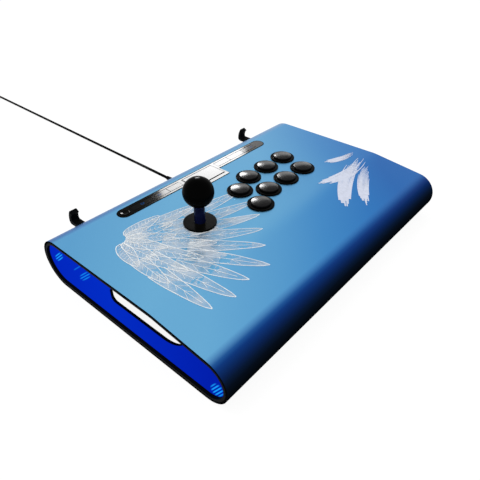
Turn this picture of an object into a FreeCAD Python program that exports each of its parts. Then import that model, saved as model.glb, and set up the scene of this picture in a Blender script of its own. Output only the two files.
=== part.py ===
import FreeCAD, Part
import math
import os

# Arcade joystick panel ("fight stick"): a wrapped aluminium body with lit, handled ends, a ball-top
# lever, eight push buttons, a rear control strip with a touchpad, cable hooks and a USB lead.
# Millimetres. +X right, +Y to the rear, +Z up. The origin is under the middle, on the table.

os.makedirs("parts", exist_ok=True)
V = FreeCAD.Vector

# ---- body ----
BODY_LENGTH = 416.8
BODY_DEPTH = 278.8
REAR_HEIGHT = 60.2
FRONT_HEIGHT = 52.4
SHEET = 2.5
BEND_FROM_REAR = 185.6
BEND_RADIUS = 60.0
PAD_THICKNESS = 2.5
FIT_GAP = 0.2

# ---- body ends ----
LIP_DEPTH = 3.65
LIP_WIDTH = 2.5
FRAME_WALL = 1.2
FRAME_DEPTH = 11.0
LIGHT_PANEL = 1.8

# ---- hand slots: lengths from the rear face, heights down from the pocket's roof ----
SLOT_REAR = 118.5
SLOT_BELOW_ROOF = 2.5
SLOT_TALL = 18.2
SLOT_SWEEP_START = 195.0
SLOT_SWEEP_RADIUS = 37.0
SLOT_CORNER = 6.0
LINER_WALL = 1.4
LINER_REAR = 69.0
LINER_FRONT = 229.0
LINER_WIDTH = 24.0
LINER_ROOF_GAP = 0.7
LINER_CORNER = 4.0

# ---- light boards behind the end panels ----
LED_BOARD_LENGTHS = (30.0, 22.0)
LED_BOARD_HEIGHT = 22.0
LED_BOARD_FROM_POCKET = 4.0
LED_BOARD_T = 1.2
LED_BAR = 2.0
LED_BAR_T = 1.2
LED_BAR_INSET = 4.0
LED_BAR_PITCH = 7.0

# ---- underside ----
ACCESS_FROM_END = 53.4
ACCESS_REAR = 46.0
ACCESS_FRONT = 236.0
ACCESS_CORNER = 10.0
LEDGE_WIDTH = 8.0
LEDGE_THICKNESS = 2.0
PAD_INSET = 4.0
COVER_SCREW_D = 3.0
COVER_SCREW_HEAD_D = 6.0
COVER_SCREW_LENGTH = 6.0
COVER_SCREW_INSET = 8.0

# ---- control strip ----
STRIP_LENGTH = 262.6
STRIP_WIDTH = 18.6
STRIP_FROM_REAR = 39.7
STRIP_PROUD = 0.3
STRIP_FLANGE = 3.0
STRIP_FLANGE_T = 1.6
TAB_WIDTH = 60.0
TAB_FROM_REAR = 67.7
TOUCHPAD_WIDTH = 53.0
TOUCHPAD_DEPTH = 26.0
TOUCHPAD_T = 2.0
TOUCHPAD_PROUD = 0.5
TOUCHPAD_TRAVEL = 0.5
KEY_BAR_START = 33.0
KEY_BAR_LENGTH = 79.0
KEY_BAR_WIDTH = 9.2
KEY_BAR_T = 1.2
HOME_D = 12.0
HOME_PROUD = 0.6
HOME_TRAVEL = 0.8
STRIP_BOARD_GAP = 3.0
STRIP_BOARD_WIDTH = 14.0
STRIP_BOARD_PAST_BUTTON = 4.0
STRIP_BOARD_TAB = 24.0
STRIP_PILLAR_D = 4.0
TACT_SIZE = 6.0
TACT_H = 1.6
KEY_STEM_D = 4.0
BOARD_T = 1.6

# ---- lever ----
LEVER_X = -78.3
LEVER_Y = 8.4
LEVER_HOLE_D = 24.0
BALL_D = 35.0
BALL_HEIGHT = 40.5
BALL_FLAT_D = 14.0
PIVOT_DEPTH = 17.0
PIVOT_D = 18.0
TILT = 9.5
SHAFT_D = 8.0
SHAFT_COLLAR_D = 11.6
COVER_D = 12.4
WASHER_D = 38.2
WASHER_T = 2.2
LOWER_WASHER_D = 36.0
LOWER_WASHER_T = 1.0
PLATE_LENGTH = 95.0
PLATE_WIDTH = 53.0
PLATE_T = 1.6
PLATE_GAP = 4.0
PLATE_HOLE_D = 22.0
STUD_SPACING_X = 84.0
STUD_SPACING_Y = 40.0
STUD_D = 4.0
NUT_ACROSS = 7.0
NUT_T = 3.2
HOUSING_SIZE = 48.0
HOUSING_WALL = 2.2
HOUSING_DEPTH = 34.2
HOUSING_WEB_T = 3.0
SOCKET_BLOCK_D = 27.0
SOCKET_FLOOR = 9.6
ACTUATOR_D = 14.0
ACTUATOR_FLANGE_D = 16.4
SWITCH_SIZE = (19.8, 6.4, 10.2)
SWITCH_BUTTON = 1.0
GATE_T = 4.9
POST_SCREW_D = 3.0
SPRING_LENGTH = 6.0
SPRING_WIRE = 1.0
CLIP_T = 1.0
CLIP_D = 12.0

# ---- buttons ----
BUTTON_PITCH = 36.7
BUTTON_ROW_GAP = 38.7
BUTTON_ROW_SHIFT = -6.5
BUTTON_FIRST = (36.9, 33.8)
INDEX_OFFSET = (-33.0, -13.9)
BEZEL_D = 33.3
BEZEL_T = 1.8
BARREL_D = 29.6
BUTTON_HOLE_D = 30.0
BARREL_DEPTH = 22.0
BARREL_WALL = 1.5
CAP_D = 24.6
CAP_EDGE = 4.0
CAP_DOME = 1.1
CAP_GAP = 0.3
BUTTON_TRAVEL = 3.0
CAP_WALL = 1.6
BUTTON_SWITCH = (13.0, 6.2, 6.5)

# ---- hooks, lead outlet and boards ----
HOOK_FROM_END = 53.4
HOOK_REACH = 22.8
HOOK_WIDTH = 10.5
HOOK_THICKNESS = 5.6
HOOK_STEM_LOW = 36.6
HOOK_STEM = 5.2
HOOK_TOP = 56.2
HOOK_LEAN = 4.7
HOOK_SCREW_D = 4.0
BOOT_REACH = 26.6
BOOT_ROOT_D = 7.6
BOOT_TIP_D = 5.4
GLAND_D = 12.0
GLAND_FLANGE_D = 15.0
CORD_D = 4.0
BOARD_SIZE = (110.0, 46.0)
BOARD_CENTRE = (44.0, 40.0)
BOARD_STANDOFF = 6.0

# ---- places worked out from the sizes above ----
END_X = BODY_LENGTH / 2
REAR_Y = (BODY_DEPTH - HOOK_REACH) / 2
FRONT_Y = REAR_Y - BODY_DEPTH
REAR_ROUND = REAR_HEIGHT / 2
FRONT_ROUND = FRONT_HEIGHT / 2
UNDERSIDE = PAD_THICKNESS
FLOOR = UNDERSIDE + SHEET
PANEL_TOP = UNDERSIDE + REAR_HEIGHT
PANEL_UNDER = PANEL_TOP - SHEET
MIDDLE_Z = UNDERSIDE + REAR_ROUND
STRIP_Y = REAR_Y - STRIP_FROM_REAR
PIVOT_Z = PANEL_TOP - PIVOT_DEPTH
PLATE_TOP = PANEL_UNDER - PLATE_GAP
PLATE_UNDER = PLATE_TOP - PLATE_T
HOUSING_LOW = PLATE_UNDER - HOUSING_DEPTH
GATE_LOW = HOUSING_LOW - GATE_T
TAN_TILT = math.tan(math.radians(TILT))
ACCESS_X = END_X - ACCESS_FROM_END
HOOK_X = END_X - HOOK_FROM_END


def save(name, shape):
    """Write one piece, or one group of like pieces, as a STEP file."""
    shape.exportStep(os.path.join("parts", name + ".step"))


def box(x0, x1, y0, y1, z0, z1):
    return Part.makeBox(x1 - x0, y1 - y0, z1 - z0, V(x0, y0, z0))


def disc(diameter, x, y, z0, z1):
    """Upright round bar between two heights."""
    return Part.makeCylinder(diameter / 2, z1 - z0, V(x, y, z0))


def rounded_block(x0, x1, y0, y1, z0, z1, radius):
    """Block with its four upright edges rounded."""
    block = box(x0, x1, y0, y1, z0, z1)
    upright = [e for e in block.Edges if abs(e.tangentAt(e.FirstParameter).z) > 0.99]
    return block.makeFillet(radius, upright)


def fuse_all(shapes):
    joined = shapes[0].multiFuse(shapes[1:]) if len(shapes) > 1 else shapes[0]
    return joined.removeSplitter()


def bend_slope():
    """Angle of the wrist slope: from the bend line it runs tangent to the front round."""
    along = REAR_Y - BEND_FROM_REAR - (FRONT_Y + FRONT_ROUND)
    rise = REAR_HEIGHT - FRONT_ROUND
    return math.atan2(rise, along) - math.asin(FRONT_ROUND / math.hypot(rise, along))


def side_outline(inset, x):
    """Outline of the body seen from its end, moved inwards by inset, as a wire at x."""
    slope = bend_slope()
    lean = V(0, -math.sin(slope), math.cos(slope))
    rear = V(x, REAR_Y - REAR_ROUND, UNDERSIDE + REAR_ROUND)
    front = V(x, FRONT_Y + FRONT_ROUND, UNDERSIDE + FRONT_ROUND)
    bend_y = REAR_Y - BEND_FROM_REAR + BEND_RADIUS * math.tan(slope / 2)
    bend = V(x, bend_y, PANEL_TOP - BEND_RADIUS)
    r_rear = REAR_ROUND - inset
    r_front = FRONT_ROUND - inset
    r_bend = BEND_RADIUS - inset
    half = slope / 2
    nose = V(0, -math.cos(half), -math.sin(half))
    rear_low = rear - V(0, 0, r_rear)
    rear_top = rear + V(0, 0, r_rear)
    bend_rear = bend + V(0, 0, r_bend)
    bend_mid = bend + V(0, -math.sin(half), math.cos(half)) * r_bend
    bend_front = bend + lean * r_bend
    front_top = front + lean * r_front
    front_low = front - V(0, 0, r_front)
    edges = [
        Part.Arc(rear_low, rear + V(0, r_rear, 0), rear_top).toShape(),
        Part.LineSegment(rear_top, bend_rear).toShape(),
        Part.Arc(bend_rear, bend_mid, bend_front).toShape(),
        Part.LineSegment(bend_front, front_top).toShape(),
        Part.Arc(front_top, front + nose * r_front, front_low).toShape(),
        Part.LineSegment(front_low, rear_low).toShape(),
    ]
    return Part.Wire(edges)


def side_prism(inset, x0, x1):
    """The side outline drawn along X from x0 to x1."""
    return Part.Face(side_outline(inset, x0)).extrude(V(x1 - x0, 0, 0))


def mirrored(shape):
    """The same piece for the right-hand end."""
    return shape.mirror(V(0, 0, 0), V(1, 0, 0))


def button_places():
    """Centres of the eight buttons: rear row, then front row, index finger first."""
    places = []
    for row in range(2):
        x = BUTTON_FIRST[0] + row * BUTTON_ROW_SHIFT
        y = BUTTON_FIRST[1] - row * BUTTON_ROW_GAP
        places.append((x + INDEX_OFFSET[0], y + INDEX_OFFSET[1]))
        for column in range(3):
            places.append((x + column * BUTTON_PITCH, y))
    return places


def strip_block(grow, z0, z1):
    """Obround bar with the touchpad's tab on its front side, grown all round."""
    half = STRIP_WIDTH / 2 + grow
    reach = STRIP_LENGTH / 2 - STRIP_WIDTH / 2
    pieces = [box(-reach, reach, STRIP_Y - half, STRIP_Y + half, z0, z1)]
    for side in (-1, 1):
        pieces.append(disc(2 * half, side * reach, STRIP_Y, z0, z1))
    tab_front = REAR_Y - TAB_FROM_REAR - grow
    wide = TAB_WIDTH / 2 + grow
    pieces.append(rounded_block(-wide, wide, tab_front, STRIP_Y, z0, z1, 2.0))
    return fuse_all(pieces)


def cover_screw_places():
    x = ACCESS_X - COVER_SCREW_INSET
    y_front = REAR_Y - ACCESS_FRONT + COVER_SCREW_INSET
    y_rear = REAR_Y - ACCESS_REAR - COVER_SCREW_INSET
    middle = (y_front + y_rear) / 2
    return [(-x, y_front), (0, y_front), (x, y_front), (-x, middle), (x, middle),
            (-x, y_rear), (0, y_rear), (x, y_rear)]


def access_block(grow, z0, z1):
    """The access opening's rounded rectangle, grown by a margin."""
    x = ACCESS_X + grow
    y0 = REAR_Y - ACCESS_FRONT - grow
    y1 = REAR_Y - ACCESS_REAR + grow
    return rounded_block(-x, x, y0, y1, z0, z1, ACCESS_CORNER)


# ---- hand slots ----

def sheet_underside(y):
    """Height of the sheet's inner face on the wrist slope."""
    down = (REAR_Y - BEND_FROM_REAR - y) * math.tan(bend_slope())
    return PANEL_TOP - down - SHEET / math.cos(bend_slope())


LINER_ROOF = sheet_underside(REAR_Y - LINER_FRONT) - LINER_ROOF_GAP
PANEL_OUT = END_X - LIP_DEPTH
PANEL_IN = PANEL_OUT - LIGHT_PANEL
LINER_OUT = PANEL_IN - 0.05
LINER_IN = LINER_OUT - LINER_WALL - LINER_WIDTH - LINER_WALL


def hand_window(grow, x0, x1):
    """Finger window in the right-hand end: square to the rear, swept up towards the front."""
    high = LINER_ROOF - SLOT_BELOW_ROOF + grow
    low = LINER_ROOF - SLOT_BELOW_ROOF - SLOT_TALL - grow
    y_rear = REAR_Y - SLOT_REAR + grow
    y_sweep = REAR_Y - SLOT_SWEEP_START
    radius = SLOT_SWEEP_RADIUS + grow
    corner = SLOT_CORNER
    across = math.sqrt(radius ** 2 - (low + radius - high) ** 2)
    y_front = y_sweep - across
    middle = math.atan2(across, low + radius - high) / 2
    low_rear = V(x0, y_rear - corner, low)
    rear_low = V(x0, y_rear, low + corner)
    rear_high = V(x0, y_rear, high - corner)
    high_rear = V(x0, y_rear - corner, high)
    high_front = V(x0, y_front, high)
    low_front = V(x0, y_sweep, low)
    inward = corner * (1 - math.sqrt(0.5))
    mid_sweep = V(x0, y_sweep - radius * math.sin(middle), low + radius * (1 - math.cos(middle)))
    edges = [
        Part.LineSegment(low_front, low_rear).toShape(),
        Part.Arc(low_rear, V(x0, y_rear - inward, low + inward), rear_low).toShape(),
        Part.LineSegment(rear_low, rear_high).toShape(),
        Part.Arc(rear_high, V(x0, y_rear - inward, high - inward), high_rear).toShape(),
        Part.LineSegment(high_rear, high_front).toShape(),
        Part.Arc(high_front, mid_sweep, low_front).toShape(),
    ]
    return Part.Face(Part.Wire(edges)).extrude(V(x1 - x0, 0, 0))


def liner_block(inset, z0, z1):
    """Plan of the hand pocket in the right-hand end, moved inwards by inset."""
    corner = max(LINER_CORNER - inset, 0.5)
    y0 = REAR_Y - LINER_FRONT + inset
    y1 = REAR_Y - LINER_REAR - inset
    return rounded_block(LINER_IN + inset, LINER_OUT - inset, y0, y1, z0, z1, corner)


def hand_liner():
    """Pocket behind the finger window, open through the underside of the body."""
    shell = liner_block(0, UNDERSIDE, LINER_ROOF)
    hollow = liner_block(LINER_WALL, UNDERSIDE - 1, LINER_ROOF - LINER_WALL)
    window = hand_window(FIT_GAP, LINER_OUT - 2 * LINER_WALL, END_X)
    return shell.cut(hollow).cut(window)


# ---- body pieces ----

def body_shell():
    """One sheet wrapped round front and rear, with every opening cut in it."""
    shell = side_prism(0, -END_X, END_X).cut(side_prism(SHEET, -END_X - 1, END_X + 1))
    top = (PANEL_UNDER - 5, PANEL_TOP + 5)
    cuts = [disc(BUTTON_HOLE_D, x, y, *top) for x, y in button_places()]
    cuts.append(disc(LEVER_HOLE_D, LEVER_X, LEVER_Y, *top))
    cuts.append(strip_block(FIT_GAP, *top))
    cuts.append(access_block(FIT_GAP, UNDERSIDE - 1, FLOOR + 1))
    pocket = liner_block(-FIT_GAP, UNDERSIDE - 1, FLOOR + 1)
    cuts += [pocket, mirrored(pocket)]
    wall = SHEET + REAR_ROUND
    start = V(0, REAR_Y - wall + 2, MIDDLE_Z)
    cuts.append(Part.makeCylinder(GLAND_D / 2 + FIT_GAP, wall, start, V(0, 1, 0)))
    for side in (-1, 1):
        start = V(side * HOOK_X, REAR_Y - wall + 2, hook_stem_middle())
        cuts.append(Part.makeCylinder(HOOK_SCREW_D / 2 + FIT_GAP, wall, start, V(0, 1, 0)))
    return shell.cut(Part.makeCompound(cuts))


def end_frame():
    """Black ring inside the right-hand end: a lip, then a rebate that takes the light panel."""
    outer = side_prism(SHEET + 0.05, END_X - FRAME_DEPTH, END_X)
    lip = side_prism(SHEET + LIP_WIDTH, PANEL_OUT, END_X + 1)
    rebate = side_prism(SHEET + 0.05 + FRAME_WALL, END_X - FRAME_DEPTH - 1, PANEL_OUT)
    frame = outer.cut(lip).cut(rebate)
    return frame.cut(liner_block(-FIT_GAP, UNDERSIDE, LINER_ROOF + FIT_GAP))


def light_panel():
    """Tinted acrylic end panel with the finger window."""
    sheet = side_prism(SHEET + 0.05 + FRAME_WALL + 0.1, PANEL_IN, PANEL_OUT)
    return sheet.cut(hand_window(0, PANEL_IN - 1, PANEL_OUT + 1))


def led_board():
    """Two small boards of LEDs on the back of a light panel, in front of and behind the pocket."""
    face = PANEL_IN - 0.1
    back = face - LED_BOARD_T
    rear_start = REAR_Y - LINER_REAR + LED_BOARD_FROM_POCKET
    front_end = REAR_Y - LINER_FRONT - LED_BOARD_FROM_POCKET
    rear_length, front_length = LED_BOARD_LENGTHS
    half = LED_BOARD_HEIGHT / 2
    boards = []
    for y0, y1 in ((rear_start, rear_start + rear_length), (front_end - front_length, front_end)):
        board = box(back, face, y0, y1, MIDDLE_Z - half, MIDDLE_Z + half)
        for k in (-1, 0, 1):
            low = MIDDLE_Z + k * LED_BAR_PITCH - LED_BAR / 2
            board = board.fuse(box(back - LED_BAR_T, back, y0 + LED_BAR_INSET, y1 - LED_BAR_INSET,
                                   low, low + LED_BAR))
        boards.append(board)
    return Part.makeCompound(boards)


def access_cover():
    cover = access_block(-FIT_GAP, UNDERSIDE, FLOOR)
    for x, y in cover_screw_places():
        cover = cover.cut(disc(COVER_SCREW_D + 0.4, x, y, UNDERSIDE - 1, FLOOR + 1))
        sink = (COVER_SCREW_HEAD_D - COVER_SCREW_D) / 2
        cover = cover.cut(Part.makeCone(COVER_SCREW_HEAD_D / 2 + 0.2, COVER_SCREW_D / 2 + 0.2, sink,
                                        V(x, y, UNDERSIDE)))
    for x, y in board_places():
        cover = cover.cut(disc(3.0, x, y, UNDERSIDE - 1, FLOOR + 1))
    return cover


def cover_ledge():
    """Inner frame round the access opening that the cover screws into."""
    ledge = access_block(LEDGE_WIDTH, FLOOR, FLOOR + LEDGE_THICKNESS)
    ledge = ledge.cut(access_block(-2 * COVER_SCREW_INSET, FLOOR - 1, FLOOR + LEDGE_THICKNESS + 1))
    for x, y in cover_screw_places():
        ledge = ledge.cut(disc(COVER_SCREW_D + 0.1, x, y, FLOOR - 1, FLOOR + LEDGE_THICKNESS + 1))
    return ledge


def cover_screws():
    screws = []
    sink = (COVER_SCREW_HEAD_D - COVER_SCREW_D) / 2
    for x, y in cover_screw_places():
        head = Part.makeCone(COVER_SCREW_HEAD_D / 2, COVER_SCREW_D / 2, sink, V(x, y, UNDERSIDE + 0.1))
        screw = head.fuse(disc(COVER_SCREW_D, x, y, UNDERSIDE + 0.1, UNDERSIDE + COVER_SCREW_LENGTH))
        recess = Part.makeCylinder(1.1, 1.0, V(x, y, UNDERSIDE + 0.1))
        screws.append(screw.cut(recess))
    return Part.makeCompound(screws)


def foam_pad():
    """Non-slip pad glued to the cover, notched so that the screws stay in reach."""
    pad = access_block(-PAD_INSET, 0, PAD_THICKNESS)
    for x, y in cover_screw_places():
        pad = pad.cut(disc(COVER_SCREW_HEAD_D + 8, x, y, -1, PAD_THICKNESS + 1))
    return pad


# ---- control strip ----

STRIP_TOP = PANEL_TOP + STRIP_PROUD
HOME_X = -(STRIP_LENGTH - STRIP_WIDTH) / 2
TOUCHPAD_Y1 = STRIP_Y + KEY_BAR_WIDTH / 2
TOUCHPAD_Y0 = TOUCHPAD_Y1 - TOUCHPAD_DEPTH
TOUCHPAD_Y = (TOUCHPAD_Y0 + TOUCHPAD_Y1) / 2
FLANGE_LOW = PANEL_UNDER - 0.1 - STRIP_FLANGE_T
STRIP_BOARD_TOP = FLANGE_LOW - STRIP_BOARD_GAP


def key_bar(side, grow, z0, z1):
    x0 = KEY_BAR_START - grow
    x1 = KEY_BAR_START + KEY_BAR_LENGTH + grow
    half = KEY_BAR_WIDTH / 2 + grow
    if side < 0:
        x0, x1 = -x1, -x0
    return rounded_block(x0, x1, STRIP_Y - half, STRIP_Y + half, z0, z1, 1.5)


def touchpad_block(grow, z0, z1):
    x = TOUCHPAD_WIDTH / 2 + grow
    return rounded_block(-x, x, TOUCHPAD_Y0 - grow, TOUCHPAD_Y1 + grow, z0, z1, 1.5)


def strip_board_places():
    y = STRIP_Y
    reach = STRIP_LENGTH / 2 - STRIP_WIDTH
    return [(-reach, y), (-KEY_BAR_START + 1.0, y), (KEY_BAR_START - 1.0, y), (reach, y)]


def control_strip():
    """Gloss black fascia let into the panel, with a flange that is bonded under the sheet."""
    fascia = strip_block(0, PANEL_UNDER - 0.1, STRIP_TOP)
    flange = strip_block(STRIP_FLANGE, FLANGE_LOW, PANEL_UNDER - 0.1)
    strip = fascia.fuse(flange.common(side_prism(SHEET + 0.1, -END_X, END_X)))
    for x, y in strip_board_places():
        strip = strip.fuse(disc(STRIP_PILLAR_D, x, y, STRIP_BOARD_TOP, FLANGE_LOW))
    for side in (-1, 1):
        strip = strip.cut(key_bar(side, 0.15, STRIP_TOP - KEY_BAR_T, STRIP_TOP + 1))
    well = STRIP_TOP + TOUCHPAD_PROUD - TOUCHPAD_T - TOUCHPAD_TRAVEL - 0.1
    strip = strip.cut(touchpad_block(0.3, well, STRIP_TOP + 1))
    strip = strip.cut(disc(KEY_STEM_D + 2, 0, TOUCHPAD_Y, FLANGE_LOW - 1, STRIP_TOP))
    strip = strip.cut(disc(HOME_D + 0.5, HOME_X, STRIP_Y, FLANGE_LOW - 1, STRIP_TOP + 1))
    return strip.removeSplitter()


def touch_keys():
    """Two flush touch-key bars, one each side of the touchpad."""
    return Part.makeCompound([key_bar(side, 0, STRIP_TOP - KEY_BAR_T + 0.05, STRIP_TOP) for side in (-1, 1)])


def touchpad():
    """Clicking touchpad with the stem that works its switch."""
    top = STRIP_TOP + TOUCHPAD_PROUD
    plate = touchpad_block(0, top - TOUCHPAD_T, top)
    rim = [e for e in plate.Edges if e.BoundBox.ZMin > top - 0.01]
    plate = plate.makeFillet(0.4, rim)
    stem_low = STRIP_BOARD_TOP + TACT_H + TOUCHPAD_TRAVEL + 0.1
    return plate.fuse(disc(KEY_STEM_D, 0, TOUCHPAD_Y, stem_low, top - TOUCHPAD_T + 0.1))


def home_button():
    """Round button with a shallow dish, in the left-hand end of the strip."""
    top = STRIP_TOP + HOME_PROUD
    knob = disc(HOME_D, HOME_X, STRIP_Y, FLANGE_LOW, top)
    rim = [e for e in knob.Edges if e.BoundBox.ZMin > top - 0.01 and e.Closed and len(e.Vertexes) == 1]
    knob = knob.makeFillet(0.6, rim)
    dish_r = 20.0
    knob = knob.cut(Part.makeSphere(dish_r, V(HOME_X, STRIP_Y, top + dish_r - 0.6)))
    stem_low = STRIP_BOARD_TOP + TACT_H + HOME_TRAVEL + 0.1
    return knob.fuse(disc(KEY_STEM_D, HOME_X, STRIP_Y, stem_low, FLANGE_LOW + 0.1))


def strip_board():
    """Board under the fascia, with a tact switch under the touchpad and one under the button."""
    low = STRIP_BOARD_TOP - BOARD_T
    reach = STRIP_LENGTH / 2 - STRIP_WIDTH / 2 + STRIP_BOARD_PAST_BUTTON
    half = STRIP_BOARD_WIDTH / 2
    board = box(-reach, reach, STRIP_Y - half, STRIP_Y + half, low, STRIP_BOARD_TOP)
    tab = STRIP_BOARD_TAB / 2
    board = board.fuse(box(-tab, tab, TOUCHPAD_Y - TACT_SIZE, STRIP_Y, low, STRIP_BOARD_TOP))
    half = TACT_SIZE / 2
    for x, y in ((0, TOUCHPAD_Y), (HOME_X, STRIP_Y)):
        board = board.fuse(box(x - half, x + half, y - half, y + half,
                               STRIP_BOARD_TOP, STRIP_BOARD_TOP + TACT_H))
    return board


# ---- lever ----

PLATE_STUD_PLACES = [(LEVER_X + i * STUD_SPACING_X / 2, LEVER_Y + j * STUD_SPACING_Y / 2)
                     for i in (-1, 1) for j in (-1, 1)]
SOCKET_LOW = PIVOT_Z - SOCKET_FLOOR
SOCKET_THROAT = SHAFT_D / 2 + SOCKET_FLOOR * TAN_TILT * 1.5 + 0.8
ACTUATOR_TOP = SOCKET_LOW - SPRING_LENGTH
ACTUATOR_LOW = GATE_LOW + 1.0
CLIP_Z = ACTUATOR_LOW - 0.05 - CLIP_T
SHAFT_LOW = CLIP_Z - 1.2
ACTUATOR_SWING = (PIVOT_Z - HOUSING_LOW) * TAN_TILT
SWITCH_FACE = ACTUATOR_D / 2 / math.cos(math.radians(TILT)) + ACTUATOR_SWING + 0.6


def lever_plate():
    x = PLATE_LENGTH / 2
    y = PLATE_WIDTH / 2
    plate = rounded_block(LEVER_X - x, LEVER_X + x, LEVER_Y - y, LEVER_Y + y, PLATE_UNDER, PLATE_TOP, 4.0)
    plate = plate.cut(disc(PLATE_HOLE_D, LEVER_X, LEVER_Y, PLATE_UNDER - 1, PLATE_TOP + 1))
    for px, py in PLATE_STUD_PLACES:
        plate = plate.cut(disc(STUD_D + 0.4, px, py, PLATE_UNDER - 1, PLATE_TOP + 1))
    for px, py in housing_posts():
        plate = plate.cut(disc(POST_SCREW_D + 0.4, px, py, PLATE_UNDER - 1, PLATE_TOP + 1))
    return plate


def housing_posts():
    """Centres of the four screws between the mounting plate and the housing."""
    reach = HOUSING_SIZE / 2 - HOUSING_WALL - 2.4
    return [(LEVER_X + i * reach, LEVER_Y + j * reach) for i in (-1, 1) for j in (-1, 1)]


def lever_fasteners():
    """Weld studs with spacer collars and nuts for the plate, and the screws into the housing."""
    pieces = []
    for x, y in housing_posts():
        screw = disc(POST_SCREW_D, x, y, PLATE_UNDER - 8.0, PLATE_TOP)
        pieces.append(screw.fuse(disc(POST_SCREW_D + 2.4, x, y, PLATE_TOP, PLATE_TOP + 1.2)))
    for x, y in PLATE_STUD_PLACES:
        stud = disc(STUD_D, x, y, PLATE_UNDER - 5.0, PANEL_UNDER)
        pieces.append(stud.fuse(disc(STUD_D + 4, x, y, PLATE_TOP, PANEL_UNDER)))
        nut_r = NUT_ACROSS / 2 / math.cos(math.pi / 6)
        corners = [V(x + nut_r * math.cos(k * math.pi / 3), y + nut_r * math.sin(k * math.pi / 3),
                     PLATE_UNDER) for k in range(7)]
        nut = Part.Face(Part.makePolygon(corners)).extrude(V(0, 0, -NUT_T))
        pieces.append(nut.cut(disc(STUD_D + 0.1, x, y, PLATE_UNDER - 6, PLATE_UNDER + 1)))
    return Part.makeCompound(pieces)


def lever_housing():
    """Moulded body of the lever: open box under the plate with the pivot's cup in the middle."""
    half = HOUSING_SIZE / 2
    inner = half - HOUSING_WALL
    body = rounded_block(LEVER_X - half, LEVER_X + half, LEVER_Y - half, LEVER_Y + half,
                         HOUSING_LOW, PLATE_UNDER, 4.0)
    body = body.cut(rounded_block(LEVER_X - inner, LEVER_X + inner, LEVER_Y - inner, LEVER_Y + inner,
                                  HOUSING_LOW - 1, PLATE_UNDER - 2.0, 2.0))
    web = box(LEVER_X - inner - 0.5, LEVER_X + inner + 0.5, LEVER_Y - inner - 0.5, LEVER_Y + inner + 0.5,
              SOCKET_LOW, SOCKET_LOW + HOUSING_WEB_T)
    cup = disc(SOCKET_BLOCK_D, LEVER_X, LEVER_Y, SOCKET_LOW, PIVOT_Z + 2.0)
    body = body.fuse(web).fuse(cup)
    for turn in (0, 90, 180, 270):
        rib = box(LEVER_X + 8, LEVER_X + inner + 0.5, LEVER_Y - 1, LEVER_Y + 1, SOCKET_LOW, PLATE_UNDER - 1)
        rib.rotate(V(LEVER_X, LEVER_Y, 0), V(0, 0, 1), turn + 45)
        body = body.fuse(rib.common(box(LEVER_X - inner, LEVER_X + inner, LEVER_Y - inner, LEVER_Y + inner,
                                        0, PANEL_TOP)))
    for x, y in housing_posts():
        body = body.fuse(disc(POST_SCREW_D + 4, x, y, SOCKET_LOW, PLATE_UNDER))
        body = body.cut(disc(POST_SCREW_D + 0.1, x, y, PLATE_UNDER - 9.0, PLATE_UNDER + 1))
    body = body.cut(Part.makeSphere(PIVOT_D / 2 + 0.06, V(LEVER_X, LEVER_Y, PIVOT_Z)))
    body = body.cut(disc(PIVOT_D + 0.12, LEVER_X, LEVER_Y, PIVOT_Z, PLATE_UNDER + 1))
    body = body.cut(disc(2 * SOCKET_THROAT, LEVER_X, LEVER_Y, SOCKET_LOW - 1, PIVOT_Z))
    return body.removeSplitter()


def pivot_ball():
    """Ball that carries the shaft, flattened above and below."""
    ball = Part.makeSphere(PIVOT_D / 2, V(LEVER_X, LEVER_Y, PIVOT_Z))
    low = PIVOT_Z - 6.5
    high = PIVOT_Z + 5.0
    ball = ball.common(disc(PIVOT_D + 2, LEVER_X, LEVER_Y, low, high))
    return ball.cut(disc(SHAFT_D + 0.1, LEVER_X, LEVER_Y, low - 1, high + 1))


def lever_spring():
    """Centring spring, as the tapered sleeve that its coils fill."""
    low = ACTUATOR_TOP + 0.1
    height = SOCKET_LOW - 0.1 - low
    at = V(LEVER_X, LEVER_Y, low)
    seat_low = ACTUATOR_FLANGE_D / 2 - 0.4
    seat_high = SOCKET_THROAT + 1.6
    outer = Part.makeCone(seat_low, seat_high, height, at)
    return outer.cut(Part.makeCone(seat_low - SPRING_WIRE, seat_high - SPRING_WIRE, height, at))


def lever_actuator():
    """Sleeve on the lower shaft that works the switches; its flange is the spring's seat."""
    body = disc(ACTUATOR_D, LEVER_X, LEVER_Y, ACTUATOR_LOW, ACTUATOR_TOP)
    body = body.fuse(disc(ACTUATOR_FLANGE_D, LEVER_X, LEVER_Y, ACTUATOR_TOP - 1.4, ACTUATOR_TOP))
    return body.cut(disc(SHAFT_D + 0.1, LEVER_X, LEVER_Y, ACTUATOR_LOW - 1, ACTUATOR_TOP + 1))


COLLAR_LOW = PIVOT_Z + 5.1
COLLAR_T = 2.0
BALL_Z = PANEL_TOP + BALL_HEIGHT
BALL_LOW = BALL_Z - math.sqrt((BALL_D / 2) ** 2 - (BALL_FLAT_D / 2) ** 2)
THREAD_D = 6.0
THREAD_LENGTH = 12.0


def lever_shaft():
    """Steel shaft: collar above the pivot, threaded end in the ball, groove for the clip."""
    shaft = disc(SHAFT_D, LEVER_X, LEVER_Y, SHAFT_LOW, BALL_LOW - 0.05)
    shaft = shaft.fuse(disc(SHAFT_COLLAR_D, LEVER_X, LEVER_Y, COLLAR_LOW, COLLAR_LOW + COLLAR_T))
    shaft = shaft.fuse(disc(THREAD_D, LEVER_X, LEVER_Y, BALL_LOW - 1, BALL_LOW + THREAD_LENGTH))
    groove = disc(SHAFT_D + 2, LEVER_X, LEVER_Y, CLIP_Z - 0.05, CLIP_Z + CLIP_T + 0.05)
    groove = groove.cut(disc(SHAFT_D - 2, LEVER_X, LEVER_Y, CLIP_Z - 1, CLIP_Z + CLIP_T + 1))
    return shaft.cut(groove).removeSplitter()


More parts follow.
